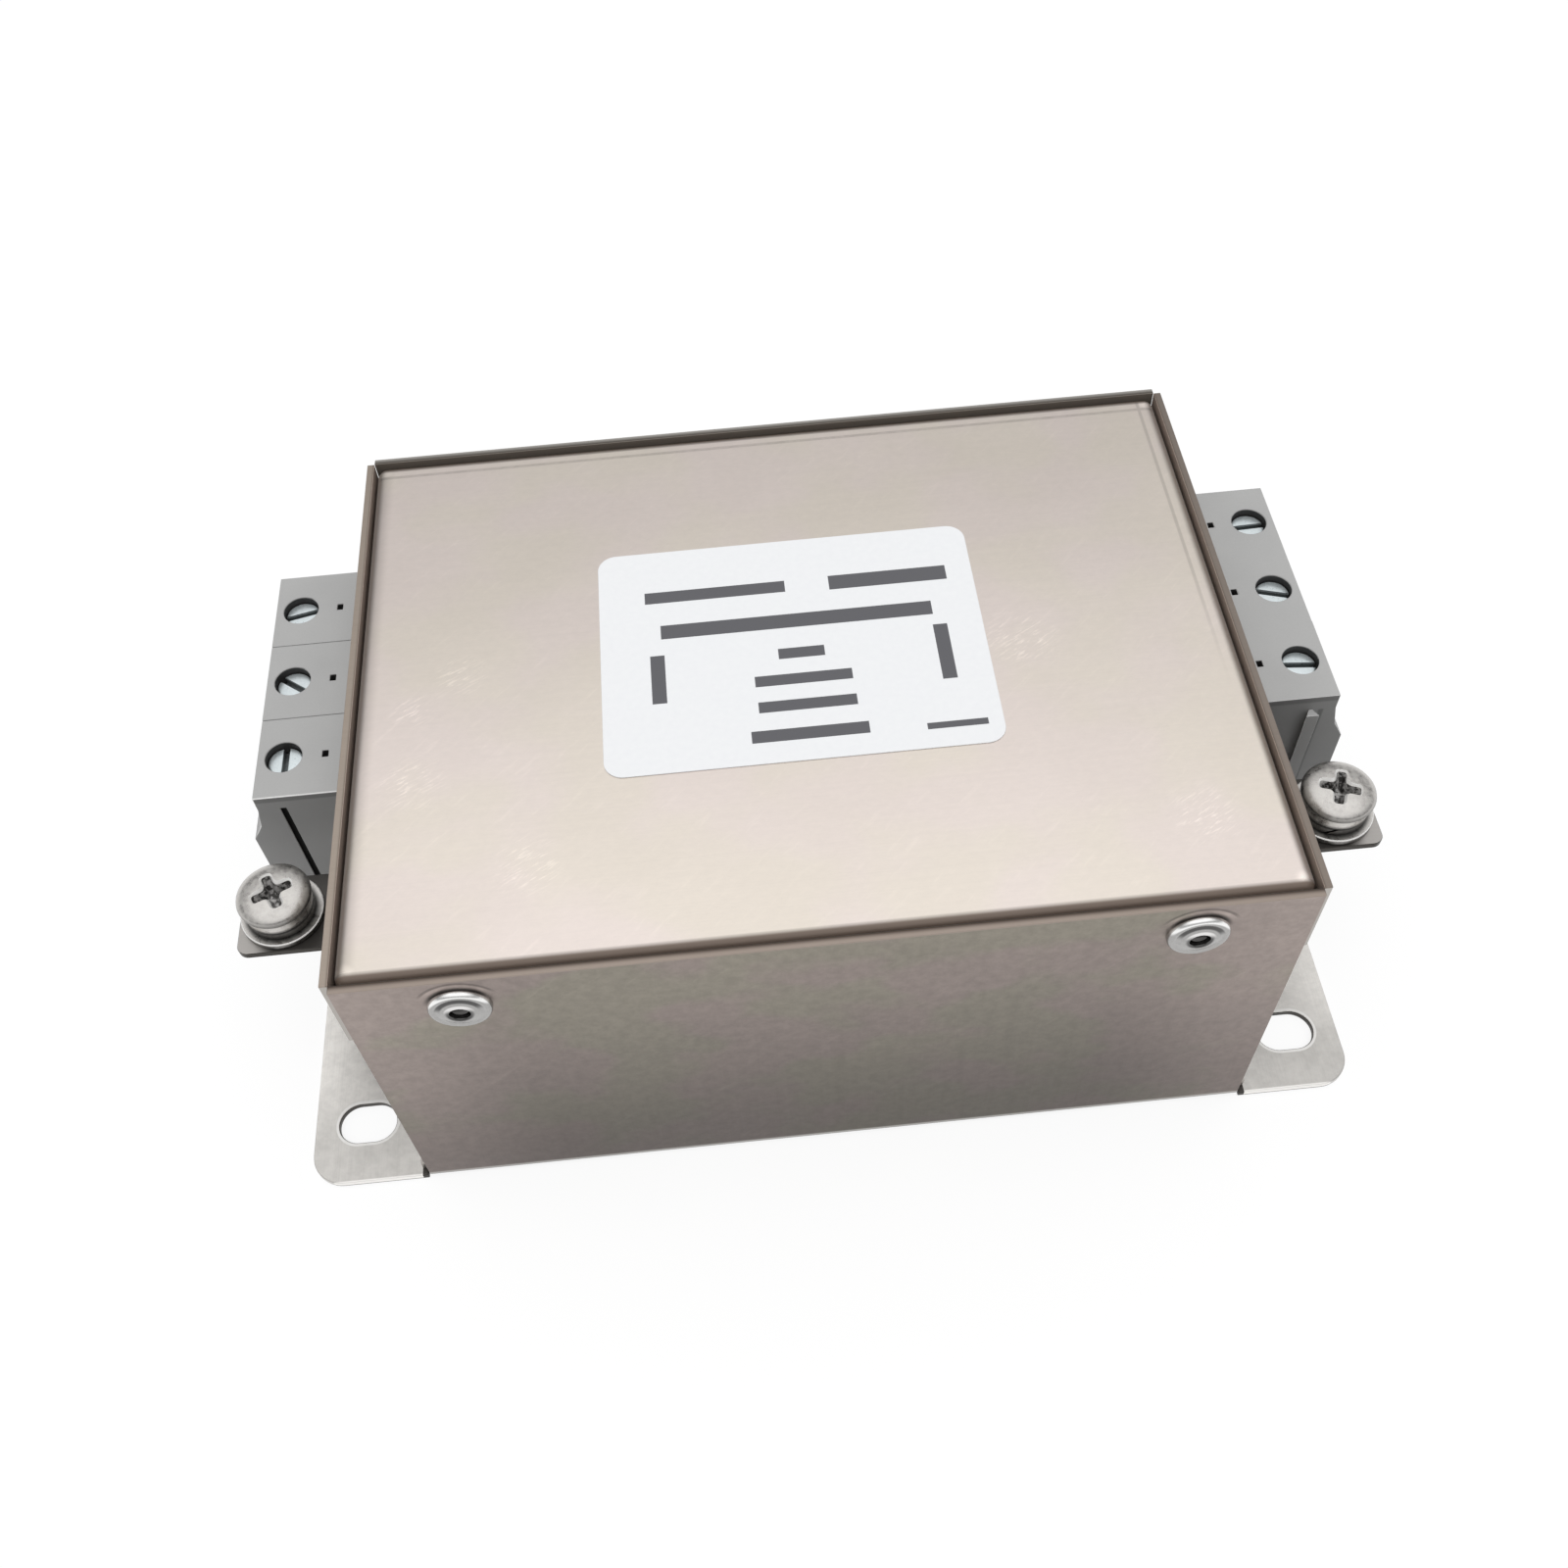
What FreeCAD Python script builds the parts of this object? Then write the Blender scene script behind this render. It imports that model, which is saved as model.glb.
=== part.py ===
# Three-phase mains filter in a folded steel case, with a terminal block at each end.
# Millimetres. The origin is the middle of the underside, +X points to the load end,
# +Y to the back and +Z up, so the line end is at -X.
import FreeCAD, Part
import math
import os

Vector = FreeCAD.Vector

# Sheet metal of the case
case_length = 92.5
case_width = 70.0
case_height = 43.0
sheet = 0.8
bend_inside = 0.4
flange_out = 12.5
flange_corner_radius = 3.7
relief_width = 0.2
relief_depth = 1.4

# Slots in the mounting flanges
slot_from_end = 5.95
slot_from_side = 7.0
slot_width = 4.7
slot_length = 6.5

# Lid, let in between the walls, and the label stuck to it
lid_drop = 0.2
lid_side_gap = 0.2
lid_end_gap = 0.25
lid_side_flange = 11.2
lid_end_flange = 6.0
label_length = 40.0
label_width = 30.0
label_corner_radius = 2.0
label_thickness = 0.12
label_y = 1.0

# Blind rivets that hold the lid
rivet_from_corner = 11.9
rivet_from_top = 4.5
rivet_hole = 3.2
rivet_head_diameter = 6.0
rivet_head_height = 1.0
rivet_rim_height = 0.25
rivet_bore = 1.9
rivet_lip = 0.35
rivet_lip_height = 0.2
rivet_bulb_diameter = 4.6
rivet_bulb_length = 2.4
rivet_tail = 1.2
mandrel_play = 0.05
mandrel_recess = 0.5
mandrel_head_diameter = 2.8
mandrel_head_length = 1.3

# Inner folds of the end plates
end_fold = 10.0
end_fold_foot = 3.0
end_fold_slit = 0.8

# Terminal blocks: three one-pole modules a side, joined by a rib and a groove
pole_pitch = 10.9
terminal_back_gap = 4.45
terminal_height = 21.5
terminal_out = 13.25
terminal_lip_out = 15.15
terminal_brow_out = 13.85
terminal_edge_depth = 2.2
terminal_brow_depth = 5.1
terminal_lip_depth = 7.4
terminal_in = 5.95
terminal_play = 0.3
line_module_play = 0.06
load_module_play = 0.0
rib_from_screw = 0.1
rib_width = 1.4
rib_height = 0.85
rib_root_width = 0.4
rib_play = 0.1
probe_hole_length = 0.7
probe_hole_width = 0.9
probe_hole_from_screw = 4.6
clamp_screw_out = 10.35
well_diameter = 4.1

# Clamp cage, its screw and the contact bar
cage_length = 5.4
cage_width = 6.2
cage_height = 11.0
cage_wall = 1.1
cage_roof = 2.1
cage_side = 0.7
cage_play = 0.2
cage_floor = 4.5
clamp_head_diameter = 3.9
clamp_head_height = 2.4
clamp_head_recess = 0.9
clamp_shank_diameter = 3.5
clamp_slot_width = 0.75
clamp_slot_depth = 1.0
line_screw_turns = (90.0, -38.0, 13.0)
load_screw_turns = (-6.0, -18.0, 2.0)
bar_width = 4.4
bar_thickness = 1.0
bar_pin_width = 1.6
bar_behind_module = 1.1
bar_play = 0.1
bar_under_roof = 1.0
wire_entry_width = 5.0
wire_entry_height = 5.6
funnel_width = 6.4
funnel_height = 7.2
funnel_depth = 1.6

# Lanced earth tabs and their screws
earth_tab_top = 22.0
earth_tab_out = 16.05
earth_tab_width = 9.4
earth_tab_corner_radius = 1.2
earth_tab_slit = 0.5
earth_from_terminal = 9.45
earth_screw_out = 11.35
earth_hole = 4.3
earth_shank_diameter = 3.9
earth_shank_length = 7.0
earth_head_diameter = 8.0
earth_head_height = 3.1
recess_span = 4.6
recess_width = 1.15
recess_depth = 1.9
recess_foot = 0.45
crown_flat = 4.8
line_earth_turn = 24.0
load_earth_turn = 20.0
flat_washer_diameter = 9.0
flat_washer_hole = 4.3
flat_washer_thickness = 0.8
spring_washer_diameter = 7.4
spring_washer_hole = 4.1
spring_washer_thickness = 1.0
spring_washer_split = 0.5
spring_washer_lean = 0.6
line_split_turn = 200.0
load_split_turn = 250.0
earth_nut_across_flats = 7.0
earth_nut_height = 1.8
earth_nut_bore = 4.0
earth_nut_turn = 0.0

# Circuit board, its spacers and screws, and the film under it
board_end_gap = 0.85
board_side_gap = 1.0
board_thickness = 1.6
spacer_height = 6.6
spacer_across_flats = 6.0
spacer_spigot = 4.2
spacer_bore = 3.0
spacer_bore_depth = 5.0
spacer_from_end = 17.6
spacer_from_side = 3.4
board_hole = 3.2
board_screw_across_flats = 5.5
board_screw_head_height = 2.0
board_screw_shank = 2.9
board_screw_length = 5.0
film = 0.3
film_end_gap = 0.25
film_side_gap = 1.2
film_flap_height = 25.0
film_from_terminal = 1.2
film_hole_play = 0.7

# Choke: a ring core with one winding for each phase
core_outside = 31.0
core_inside = 19.0
core_height = 13.0
wire = 1.5
winding_play = 0.1
turns_per_phase = 11
turn_step = 9.0
choke_base_across_flats = 26.0
choke_base_height = 2.0
divider_thickness = 2.0
divider_turn = 150.0
divider_hub_diameter = 5.0
lead_below_board = 0.8

# Capacitors and resistors on the board
x_capacitor_from_choke = 2.9
x_capacitor_width = 9.0
x_capacitor_height = 15.5
x_capacitor_chamfer = 0.6
x_capacitor_from_bar = 0.6
x_capacitor_from_screw = 1.75
component_lead = 0.8
y_capacitor_diameter = 9.0
y_capacitor_thickness = 4.0
y_capacitor_lift = 1.5
y_capacitor_leads = 5.0
resistor_diameter = 3.2
resistor_length = 7.0
resistor_leads = 10.2
resistor_lift = 0.6
small_part_from_side = 5.4
small_part_spacing = 13.0

# Places that follow from the sizes above
bend_outside = bend_inside + sheet
half_width = case_width / 2
fold_half = half_width - sheet
plate_out = case_length / 2
plate_in = plate_out - sheet
lid_top = case_height - lid_drop
lid_side = fold_half - lid_side_gap
lid_end = plate_in - lid_end_gap
fold_top = lid_top - lid_side_flange
base_end = plate_out + flange_out
slot_x = base_end - slot_from_end
slot_y = half_width - slot_from_side
rivet_x = plate_out - rivet_from_corner
rivet_z = case_height - rivet_from_top
rivet_grip = sheet + lid_side_gap + sheet
rivet_tail_end = rivet_grip + rivet_bulb_length + rivet_tail
board_bottom = sheet + spacer_height
board_top = board_bottom + board_thickness
board_end = plate_in - board_end_gap
board_side = fold_half - sheet - board_side_gap
spacer_x = board_end - spacer_from_end
spacer_y = board_side - spacer_from_side
half_block = 1.5 * pole_pitch
terminal_y = fold_half - terminal_back_gap - half_block
terminal_reach = plate_out + terminal_out
terminal_lip_reach = plate_out + terminal_lip_out
terminal_brow_reach = plate_out + terminal_brow_out
terminal_inner_end = plate_in - terminal_in
clamp_screw_x = plate_out + clamp_screw_out
earth_tab_reach = plate_out + earth_tab_out
earth_screw_x = plate_out + earth_screw_out
earth_y = terminal_y - half_block - earth_from_terminal
terminal_top = board_top + terminal_height
cage_bottom = board_top + cage_floor
cage_top = cage_bottom + cage_height
clamp_head_top = terminal_top - clamp_head_recess
bar_top = cage_top - cage_roof - bar_under_roof
bar_bottom = bar_top - bar_thickness
bar_back = terminal_inner_end - bar_behind_module
spring_washer_bottom = earth_tab_top + flat_washer_thickness
earth_head_bottom = spring_washer_bottom + spring_washer_thickness
core_bottom = board_top + choke_base_height + wire + winding_play
core_top = core_bottom + core_height
lead_end = board_bottom - lead_below_board
x_capacitor_inner = core_outside / 2 + winding_play + wire + x_capacitor_from_choke
x_capacitor_outer = bar_back - bar_thickness - x_capacitor_from_bar
x_capacitor_length = x_capacitor_outer - x_capacitor_inner
x_capacitor_x = (x_capacitor_inner + x_capacitor_outer) / 2
x_capacitor_reach = spacer_y - board_screw_across_flats / 2 - x_capacitor_from_screw
x_capacitor_spacing = x_capacitor_reach - x_capacitor_width / 2
small_part_y = board_side - small_part_from_side


def box(x0, x1, y0, y1, z0, z1):
    """A block between two corners."""
    return Part.makeBox(x1 - x0, y1 - y0, z1 - z0, Vector(x0, y0, z0))


def rod(diameter, x, y, z0, z1):
    """An upright cylinder."""
    return Part.makeCylinder(diameter / 2, z1 - z0, Vector(x, y, z0))


def edges_at(shape, along, **place):
    """Straight edges that run along one axis at the given coordinates."""
    found = []
    for edge in shape.Edges:
        span = edge.Vertexes[-1].Point - edge.Vertexes[0].Point
        straight = span.Length > 0 and abs(span.Length - edge.Length) < 1e-6
        if not straight or abs(getattr(span, along)) < 0.999 * span.Length:
            continue
        middle = edge.CenterOfMass
        if all(abs(getattr(middle, axis) - value) < 1e-3 for axis, value in place.items()):
            found.append(edge)
    return found


def folded_u(outer, inner, along, spine, outer_at, inner_at):
    """A sheet folded to a U: a block hollowed out, with round bends where its spine is."""
    shell = outer.makeFillet(bend_outside, edges_at(outer, along, **{spine: outer_at}))
    hollow = inner.makeFillet(bend_inside, edges_at(inner, along, **{spine: inner_at}))
    return shell.cut(hollow)


def outline_face(points):
    """A face inside an outline. A pair of points is the middle and the end of an arc."""
    edges = []
    last = points[0]
    for step in points[1:] + points[:1]:
        if isinstance(step, tuple):
            middle, end = step
            edges.append(Part.Arc(last, middle, end).toShape())
        else:
            end = step
            edges.append(Part.makeLine(last, end))
        last = end
    return Part.Face(Part.Wire(edges))


def turned(points):
    """A solid turned about Z. Points are radius, 0, height."""
    return outline_face(points).revolve(Vector(0, 0, 0), Vector(0, 0, 1), 360)


def moved(shape, x=0.0, y=0.0, z=0.0, turn=0.0):
    """A copy turned about Z and then carried to a place."""
    copy = shape.copy()
    copy.rotate(Vector(0, 0, 0), Vector(0, 0, 1), turn)
    copy.translate(Vector(x, y, z))
    return copy


def mirrored(shape):
    """The same piece for the line end, as seen in a mirror."""
    return shape.mirror(Vector(0, 0, 0), Vector(1, 0, 0))


def frustum(bottom, top):
    """A solid between two rectangles, each (half x, half y, z)."""
    wires = []
    for half_x, half_y, z in (bottom, top):
        corners = [Vector(half_x, half_y, z), Vector(-half_x, half_y, z),
                   Vector(-half_x, -half_y, z), Vector(half_x, -half_y, z)]
        wires.append(Part.makePolygon(corners + corners[:1]))
    return Part.makeLoft(wires, True, True)


def slot(x, y):
    """The cut for one mounting slot, which runs along X."""
    reach = (slot_length - slot_width) / 2
    depth = 3 * sheet
    cut = box(x - reach, x + reach, y - slot_width / 2, y + slot_width / 2, -depth, depth)
    for end in (-reach, reach):
        cut = cut.fuse(rod(slot_width, x + end, y, -depth, depth))
    return cut


def mounting_flange():
    """The base beyond the load end, with round corners, two slots and the bend reliefs."""
    tip = base_end
    flange = box(plate_in, tip, -half_width, half_width, 0, sheet)
    flange = flange.makeFillet(flange_corner_radius, edges_at(flange, "z", x=tip))
    for side in (-1, 1):
        flange = flange.cut(slot(slot_x, side * slot_y))
        notch_y = side * (half_width - relief_depth)
        edge_y = side * (half_width + 1)
        flange = flange.cut(box(plate_in - 1, plate_in + relief_width,
                                min(notch_y, edge_y), max(notch_y, edge_y), -1, sheet + 1))
    return flange


def rivet_places():
    """Where the four rivets stand, each with the way it points."""
    for side in (-1, 1):
        for end in (-1, 1):
            yield end * rivet_x, side


def rivet_holes():
    """Cuts for the rivets through the long walls and the lid's side flanges."""
    cuts = []
    for x, side in rivet_places():
        start = Vector(x, side * (half_width + 1), rivet_z)
        cuts.append(Part.makeCylinder(rivet_hole / 2, 6 * sheet, start, Vector(0, -side, 0)))
    return Part.makeCompound(cuts)


def spacer_places():
    """Where the four board spacers stand."""
    return [(x, y) for x in (-spacer_x, spacer_x) for y in (-spacer_y, spacer_y)]


def base_channel():
    """Base, flanges and the two long walls, folded from one sheet."""
    outer = box(-plate_in, plate_in, -half_width, half_width, 0, case_height)
    inner = box(-plate_in - 1, plate_in + 1, -fold_half, fold_half, sheet, case_height + 1)
    channel = folded_u(outer, inner, "x", "z", 0, sheet)
    flange = mounting_flange()
    channel = channel.fuse([flange, mirrored(flange)]).removeSplitter()
    channel = channel.cut(rivet_holes())
    for x, y in spacer_places():
        channel = channel.cut(rod(spacer_spigot, x, y, -1, sheet + 1))
    return channel


def earth_tab():
    """The tab that is lanced from the end plate and bent outwards, with its screw hole."""
    bend_x = plate_out + bend_inside
    half = earth_tab_width / 2
    tab = box(bend_x, earth_tab_reach, earth_y - half, earth_y + half,
              earth_tab_top - sheet, earth_tab_top)
    tab = tab.makeFillet(earth_tab_corner_radius, edges_at(tab, "z", x=earth_tab_reach))
    bend_z = earth_tab_top + bend_inside
    centre = Vector(bend_x, earth_y - half, bend_z)
    round_bar = Part.makeCylinder(bend_outside, earth_tab_width, centre, Vector(0, 1, 0))
    hollow = Part.makeCylinder(bend_inside, earth_tab_width, centre, Vector(0, 1, 0))
    quarter = box(plate_in, bend_x, earth_y - half, earth_y + half,
                  earth_tab_top - sheet, bend_z)
    bend = round_bar.cut(hollow).common(quarter)
    hole = rod(earth_hole, earth_screw_x, earth_y, earth_tab_top - 2 * sheet, earth_tab_top + 1)
    return tab.fuse(bend).cut(hole)


def end_plate():
    """The load end: a plate with a fold inside each long wall, a window and an earth tab."""
    outer = box(plate_out - end_fold, plate_out, -fold_half, fold_half, end_fold_foot, fold_top)
    inner = box(plate_out - end_fold - 1, plate_in, sheet - fold_half, fold_half - sheet,
                end_fold_foot - 1, fold_top + 1)
    plate = folded_u(outer, inner, "z", "x", plate_out, plate_in)
    flat_half = fold_half - bend_outside
    middle = box(plate_in, plate_out, -flat_half, flat_half, sheet, case_height)
    head = box(plate_in, plate_out, -fold_half, fold_half, fold_top + end_fold_slit, case_height)
    foot = box(plate_in, plate_out, -fold_half, fold_half, sheet, end_fold_foot - end_fold_slit)
    plate = plate.fuse([middle, head, foot]).removeSplitter()
    half_window = half_block + terminal_play
    window = box(plate_in - 1, plate_out + 1, terminal_y - half_window - rib_height,
                 terminal_y + half_window, board_top - terminal_play,
                 terminal_top + terminal_play)
    tab_flat = earth_tab_reach - plate_out - bend_inside
    bend_flat = (bend_inside + sheet / 2) * math.pi / 2
    half_lance = earth_tab_width / 2 + earth_tab_slit
    lance_top = earth_tab_top + bend_inside
    lance = box(plate_in - 1, plate_out + 1, earth_y - half_lance, earth_y + half_lance,
                lance_top - bend_flat - tab_flat, lance_top)
    return plate.cut([window, lance]).fuse(earth_tab()).removeSplitter()


def line_end_plate():
    """The line end: a mirror image, whose window leaves room for the rib at the back."""
    plate = mirrored(end_plate())
    back = terminal_y + half_block + terminal_play
    room = box(-plate_out - 1, -plate_in + 1, back - 1, back + rib_height,
               board_top - terminal_play, terminal_top + terminal_play)
    return plate.cut(room)


def lid():
    """A shallow tray turned upside down, folded on all four sides with open corners."""
    corner = bend_outside
    long_x = lid_end - corner
    outer = box(-long_x, long_x, -lid_side, lid_side, lid_top - lid_side_flange, lid_top)
    inner = box(-long_x - 1, long_x + 1, sheet - lid_side, lid_side - sheet,
                lid_top - lid_side_flange - 1, lid_top - sheet)
    sides = folded_u(outer, inner, "x", "z", lid_top, lid_top - sheet)
    long_y = lid_side - corner
    outer = box(-lid_end, lid_end, -long_y, long_y, lid_top - lid_end_flange, lid_top)
    inner = box(sheet - lid_end, lid_end - sheet, -long_y - 1, long_y + 1,
                lid_top - lid_end_flange - 1, lid_top - sheet)
    ends = folded_u(outer, inner, "y", "z", lid_top, lid_top - sheet)
    return sides.fuse(ends).removeSplitter().cut(rivet_holes())


def lid_label():
    """A plain sticker with round corners."""
    half_x = label_length / 2
    half_y = label_width / 2
    label = box(-half_x, half_x, label_y - half_y, label_y + half_y,
                lid_top, lid_top + label_thickness)
    upright = edges_at(label, "z")
    return label.makeFillet(label_corner_radius, upright)


def seated_on_walls(shape):
    """Four copies of a rivet part, its Z axis turned to point out of the long walls."""
    copies = []
    for x, side in rivet_places():
        copy = shape.copy()
        copy.rotate(Vector(0, 0, 0), Vector(1, 0, 0), -90 * side)
        copy.translate(Vector(x, side * half_width, rivet_z))
        copies.append(copy)
    return Part.makeCompound(copies)


def lid_rivets():
    """Blind rivets: domed head, sleeve and the bulb that the mandrel has pulled up."""
    bore = rivet_bore / 2
    sleeve = rivet_hole / 2
    bulb = rivet_bulb_diameter / 2
    head = rivet_head_diameter / 2
    crown = bore + rivet_lip
    bulb_middle = rivet_grip + rivet_bulb_length / 2
    bulb_end = rivet_grip + rivet_bulb_length
    dome = (Vector(0.75 * head, 0, 0.75 * rivet_head_height), Vector(head, 0, rivet_rim_height))
    rivet = turned([
        Vector(bore, 0, -rivet_tail_end),
        Vector(bore, 0, rivet_head_height - rivet_lip_height),
        Vector(crown, 0, rivet_head_height),
        dome,
        Vector(head, 0, 0),
        Vector(sleeve, 0, 0),
        Vector(sleeve, 0, -rivet_grip),
        Vector(bulb, 0, -bulb_middle),
        Vector(sleeve, 0, -bulb_end),
        Vector(sleeve, 0, -rivet_tail_end),
    ])
    return seated_on_walls(rivet)


def rivet_mandrels():
    """The broken mandrel that stays in each rivet."""
    stem = rivet_bore / 2 - mandrel_play
    head = mandrel_head_diameter / 2
    end = rivet_tail_end + mandrel_head_length
    mandrel = turned([
        Vector(0, 0, -end),
        Vector(0, 0, rivet_head_height - mandrel_recess),
        Vector(stem, 0, rivet_head_height - mandrel_recess),
        Vector(stem, 0, -rivet_tail_end),
        Vector(head, 0, -rivet_tail_end),
        Vector(head, 0, -end),
    ])
    return seated_on_walls(mandrel)


def wire_entry():
    """The cut for the wire: a straight throat with a funnel at the lip."""
    half_y = wire_entry_width / 2
    low = bar_bottom - wire_entry_height
    throat = box(clamp_screw_x, terminal_lip_reach + 1, -half_y, half_y, low, bar_bottom)
    middle = (low + bar_bottom) / 2
    funnel = frustum((wire_entry_height / 2, half_y, -funnel_depth),
                     (funnel_height / 2, funnel_width / 2, 0))
    funnel.rotate(Vector(0, 0, 0), Vector(0, 1, 0), 90)
    funnel.translate(Vector(terminal_lip_reach, 0, middle))
    return throat.fuse(funnel)


def coupling_rib(play, z0):
    """The dovetail rib that joins a module to the next one. With play it is the groove for it."""
    rib_x = clamp_screw_x + rib_from_screw
    root = rib_root_width / 2 + play
    tip = rib_width / 2 + play
    depth = rib_height + play
    outline = outline_face([
        Vector(rib_x - root, rib_height, z0),
        Vector(rib_x - root, 0, z0),
        Vector(rib_x - tip, -depth, z0),
        Vector(rib_x + tip, -depth, z0),
        Vector(rib_x + root, 0, z0),
        Vector(rib_x + root, rib_height, z0),
    ])
    top = terminal_top - terminal_edge_depth + play
    return outline.extrude(Vector(0, 0, top - z0))


def terminal_module(play):
    """One pole at the load end, centred on y = 0. The cage goes in from below."""
    half = (pole_pitch - play) / 2
    profile = outline_face([
        Vector(terminal_inner_end, -half, board_top),
        Vector(terminal_lip_reach, -half, board_top),
        Vector(terminal_lip_reach, -half, terminal_top - terminal_lip_depth),
        Vector(terminal_brow_reach, -half, terminal_top - terminal_brow_depth),
        Vector(terminal_reach, -half, terminal_top - terminal_edge_depth),
        Vector(terminal_reach, -half, terminal_top),
        Vector(terminal_inner_end, -half, terminal_top),
    ])
    body = profile.extrude(Vector(0, 2 * half, 0))
    room_x = cage_length / 2 + cage_play
    room_y = cage_width / 2 + cage_play
    chamber = box(clamp_screw_x - room_x, clamp_screw_x + room_x, -room_y, room_y,
                  board_top - 1, cage_top + cage_play)
    slit_y = bar_width / 2 + bar_play
    slit = box(terminal_inner_end - 1, clamp_screw_x, -slit_y, slit_y,
               bar_bottom - bar_play, bar_top + bar_play)
    well = rod(well_diameter, clamp_screw_x, 0, cage_top, terminal_top + 1)
    probe_x = clamp_screw_x - probe_hole_from_screw
    reach = probe_hole_length / 2
    aside = probe_hole_width / 2
    probe = box(probe_x - reach, probe_x + reach, -aside, aside, bar_top, terminal_top + 1)
    body = body.cut([chamber, slit, well, probe, wire_entry()])
    groove = moved(coupling_rib(rib_play, board_top - 1), y=half)
    rib = moved(coupling_rib(0, board_top), y=-half)
    return body.cut(groove).fuse(rib).removeSplitter()


def clamp_cage():
    """The box that lifts the wire against the bar."""
    half_x = cage_length / 2
    half_y = cage_width / 2
    cage = box(-half_x, half_x, -half_y, half_y, cage_bottom, cage_top)
    window_y = half_y - cage_side
    window = box(-half_x - 1, half_x + 1, -window_y, window_y,
                 cage_bottom + cage_wall, cage_top - cage_roof)
    tapped = rod(clamp_shank_diameter, 0, 0, cage_bottom + cage_wall, cage_top + 1)
    return moved(cage.cut([window, tapped]), x=clamp_screw_x)


def clamp_screw(turn):
    """A slotted screw that presses on the bar."""
    head_bottom = clamp_head_top - clamp_head_height
    screw = rod(clamp_head_diameter, 0, 0, head_bottom, clamp_head_top)
    screw = screw.fuse(rod(clamp_shank_diameter, 0, 0, bar_top, head_bottom)).removeSplitter()
    reach = clamp_head_diameter
    cut = box(-reach, reach, -clamp_slot_width / 2, clamp_slot_width / 2,
              clamp_head_top - clamp_slot_depth, clamp_head_top + 1)
    return screw.cut(moved(cut, turn=turn))


def contact_bar():
    """A strip from the clamp to the board, bent down to a solder pin behind the module."""
    half = bar_width / 2
    tip = clamp_screw_x + cage_length / 2
    flat = box(bar_back - bar_thickness, tip, -half, half, bar_bottom, bar_top)
    down = box(bar_back - bar_thickness, bar_back, -half, half, board_top, bar_top)
    bar = flat.fuse(down).removeSplitter()
    outside = edges_at(bar, "y", x=bar_back - bar_thickness, z=bar_top)
    bar = bar.makeFillet(bar_thickness, outside)
    pin = box(bar_back - bar_thickness, bar_back, -bar_pin_width / 2, bar_pin_width / 2,
              lead_end, board_top)
    return bar.fuse(pin).removeSplitter()


def pole_places():
    """The middle of each pole along Y, from the front to the back."""
    return [terminal_y + step * pole_pitch for step in (-1, 0, 1)]


def cross_recess():
    """The cut for a cross-head driver, with its mouth at z = 0."""
    half_span = recess_span / 2
    half_width_of_wing = recess_width / 2
    foot = recess_foot * half_span
    wing = frustum((foot, recess_foot * half_width_of_wing, -recess_depth),
                   (half_span, half_width_of_wing, 0))
    core = Part.makeCone(foot, recess_width, recess_depth, Vector(0, 0, -recess_depth))
    return moved(wing).fuse([moved(wing, turn=90), core])


def earth_screw(turn):
    """A pan head with a flat crown and a cross recess, and its shank."""
    radius = earth_head_diameter / 2
    height = earth_head_height
    shank = earth_shank_diameter / 2
    round_edge = (Vector(0.89 * radius, 0, 0.8 * height), Vector(radius, 0, 0.3 * height))
    screw = turned([
        Vector(0, 0, height),
        Vector(crown_flat / 2, 0, height),
        round_edge,
        Vector(0.96 * radius, 0, 0),
        Vector(shank, 0, 0),
        Vector(shank, 0, -earth_shank_length),
        Vector(0, 0, -earth_shank_length),
    ])
    return screw.cut(moved(cross_recess(), z=height, turn=turn))


def ring(outside, inside, thickness):
    """A flat ring on z = 0."""
    return rod(outside, 0, 0, 0, thickness).cut(rod(inside, 0, 0, -1, thickness + 1))


def hexagon(across_flats, z0, z1):
    """An upright six-sided bar."""
    corner = across_flats / math.sqrt(3)
    points = []
    for step in range(6):
        angle = math.radians(60 * step)
        points.append(Vector(corner * math.cos(angle), corner * math.sin(angle), z0))
    return outline_face(points).extrude(Vector(0, 0, z1 - z0))


def spring_washer():
    """A square-section ring with a slanting split."""
    washer = ring(spring_washer_diameter, spring_washer_hole, spring_washer_thickness)
    half = spring_washer_split / 2
    lean = spring_washer_lean
    cut = outline_face([
        Vector(0, -half - lean, 0),
        Vector(0, half - lean, 0),
        Vector(0, half + lean, spring_washer_thickness),
        Vector(0, -half + lean, spring_washer_thickness),
    ])
    return washer.cut(cut.extrude(Vector(spring_washer_diameter, 0, 0)))


def earth_nut():
    """A hexagon nut pressed to the underside of the tab, top at z = 0."""
    nut = hexagon(earth_nut_across_flats, -earth_nut_height, 0)
    return nut.cut(rod(earth_nut_bore, 0, 0, -earth_nut_height - 1, 1))


def earth_pair(piece, z, line_turn=0.0, load_turn=0.0):
    """One copy of a piece at each earth tab."""
    return Part.makeCompound([
        moved(piece, x=-earth_screw_x, y=earth_y, z=z, turn=line_turn),
        moved(piece, x=earth_screw_x, y=earth_y, z=z, turn=load_turn),
    ])


def winding_angle(phase, turn):
    """Degrees about the choke's axis, with the divider's arms between the windings."""
    return 90 + 120 * phase + turn_step * (turn - (turns_per_phase - 1) / 2)


def capacitor_places():
    """The middle of each large capacitor, from the front to the back."""
    return [step * x_capacitor_spacing for step in (-1, 0, 1)]


def small_part_places():
    """The middle of each small part along X."""
    return [step * small_part_spacing for step in (-1, 0, 1)]


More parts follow.
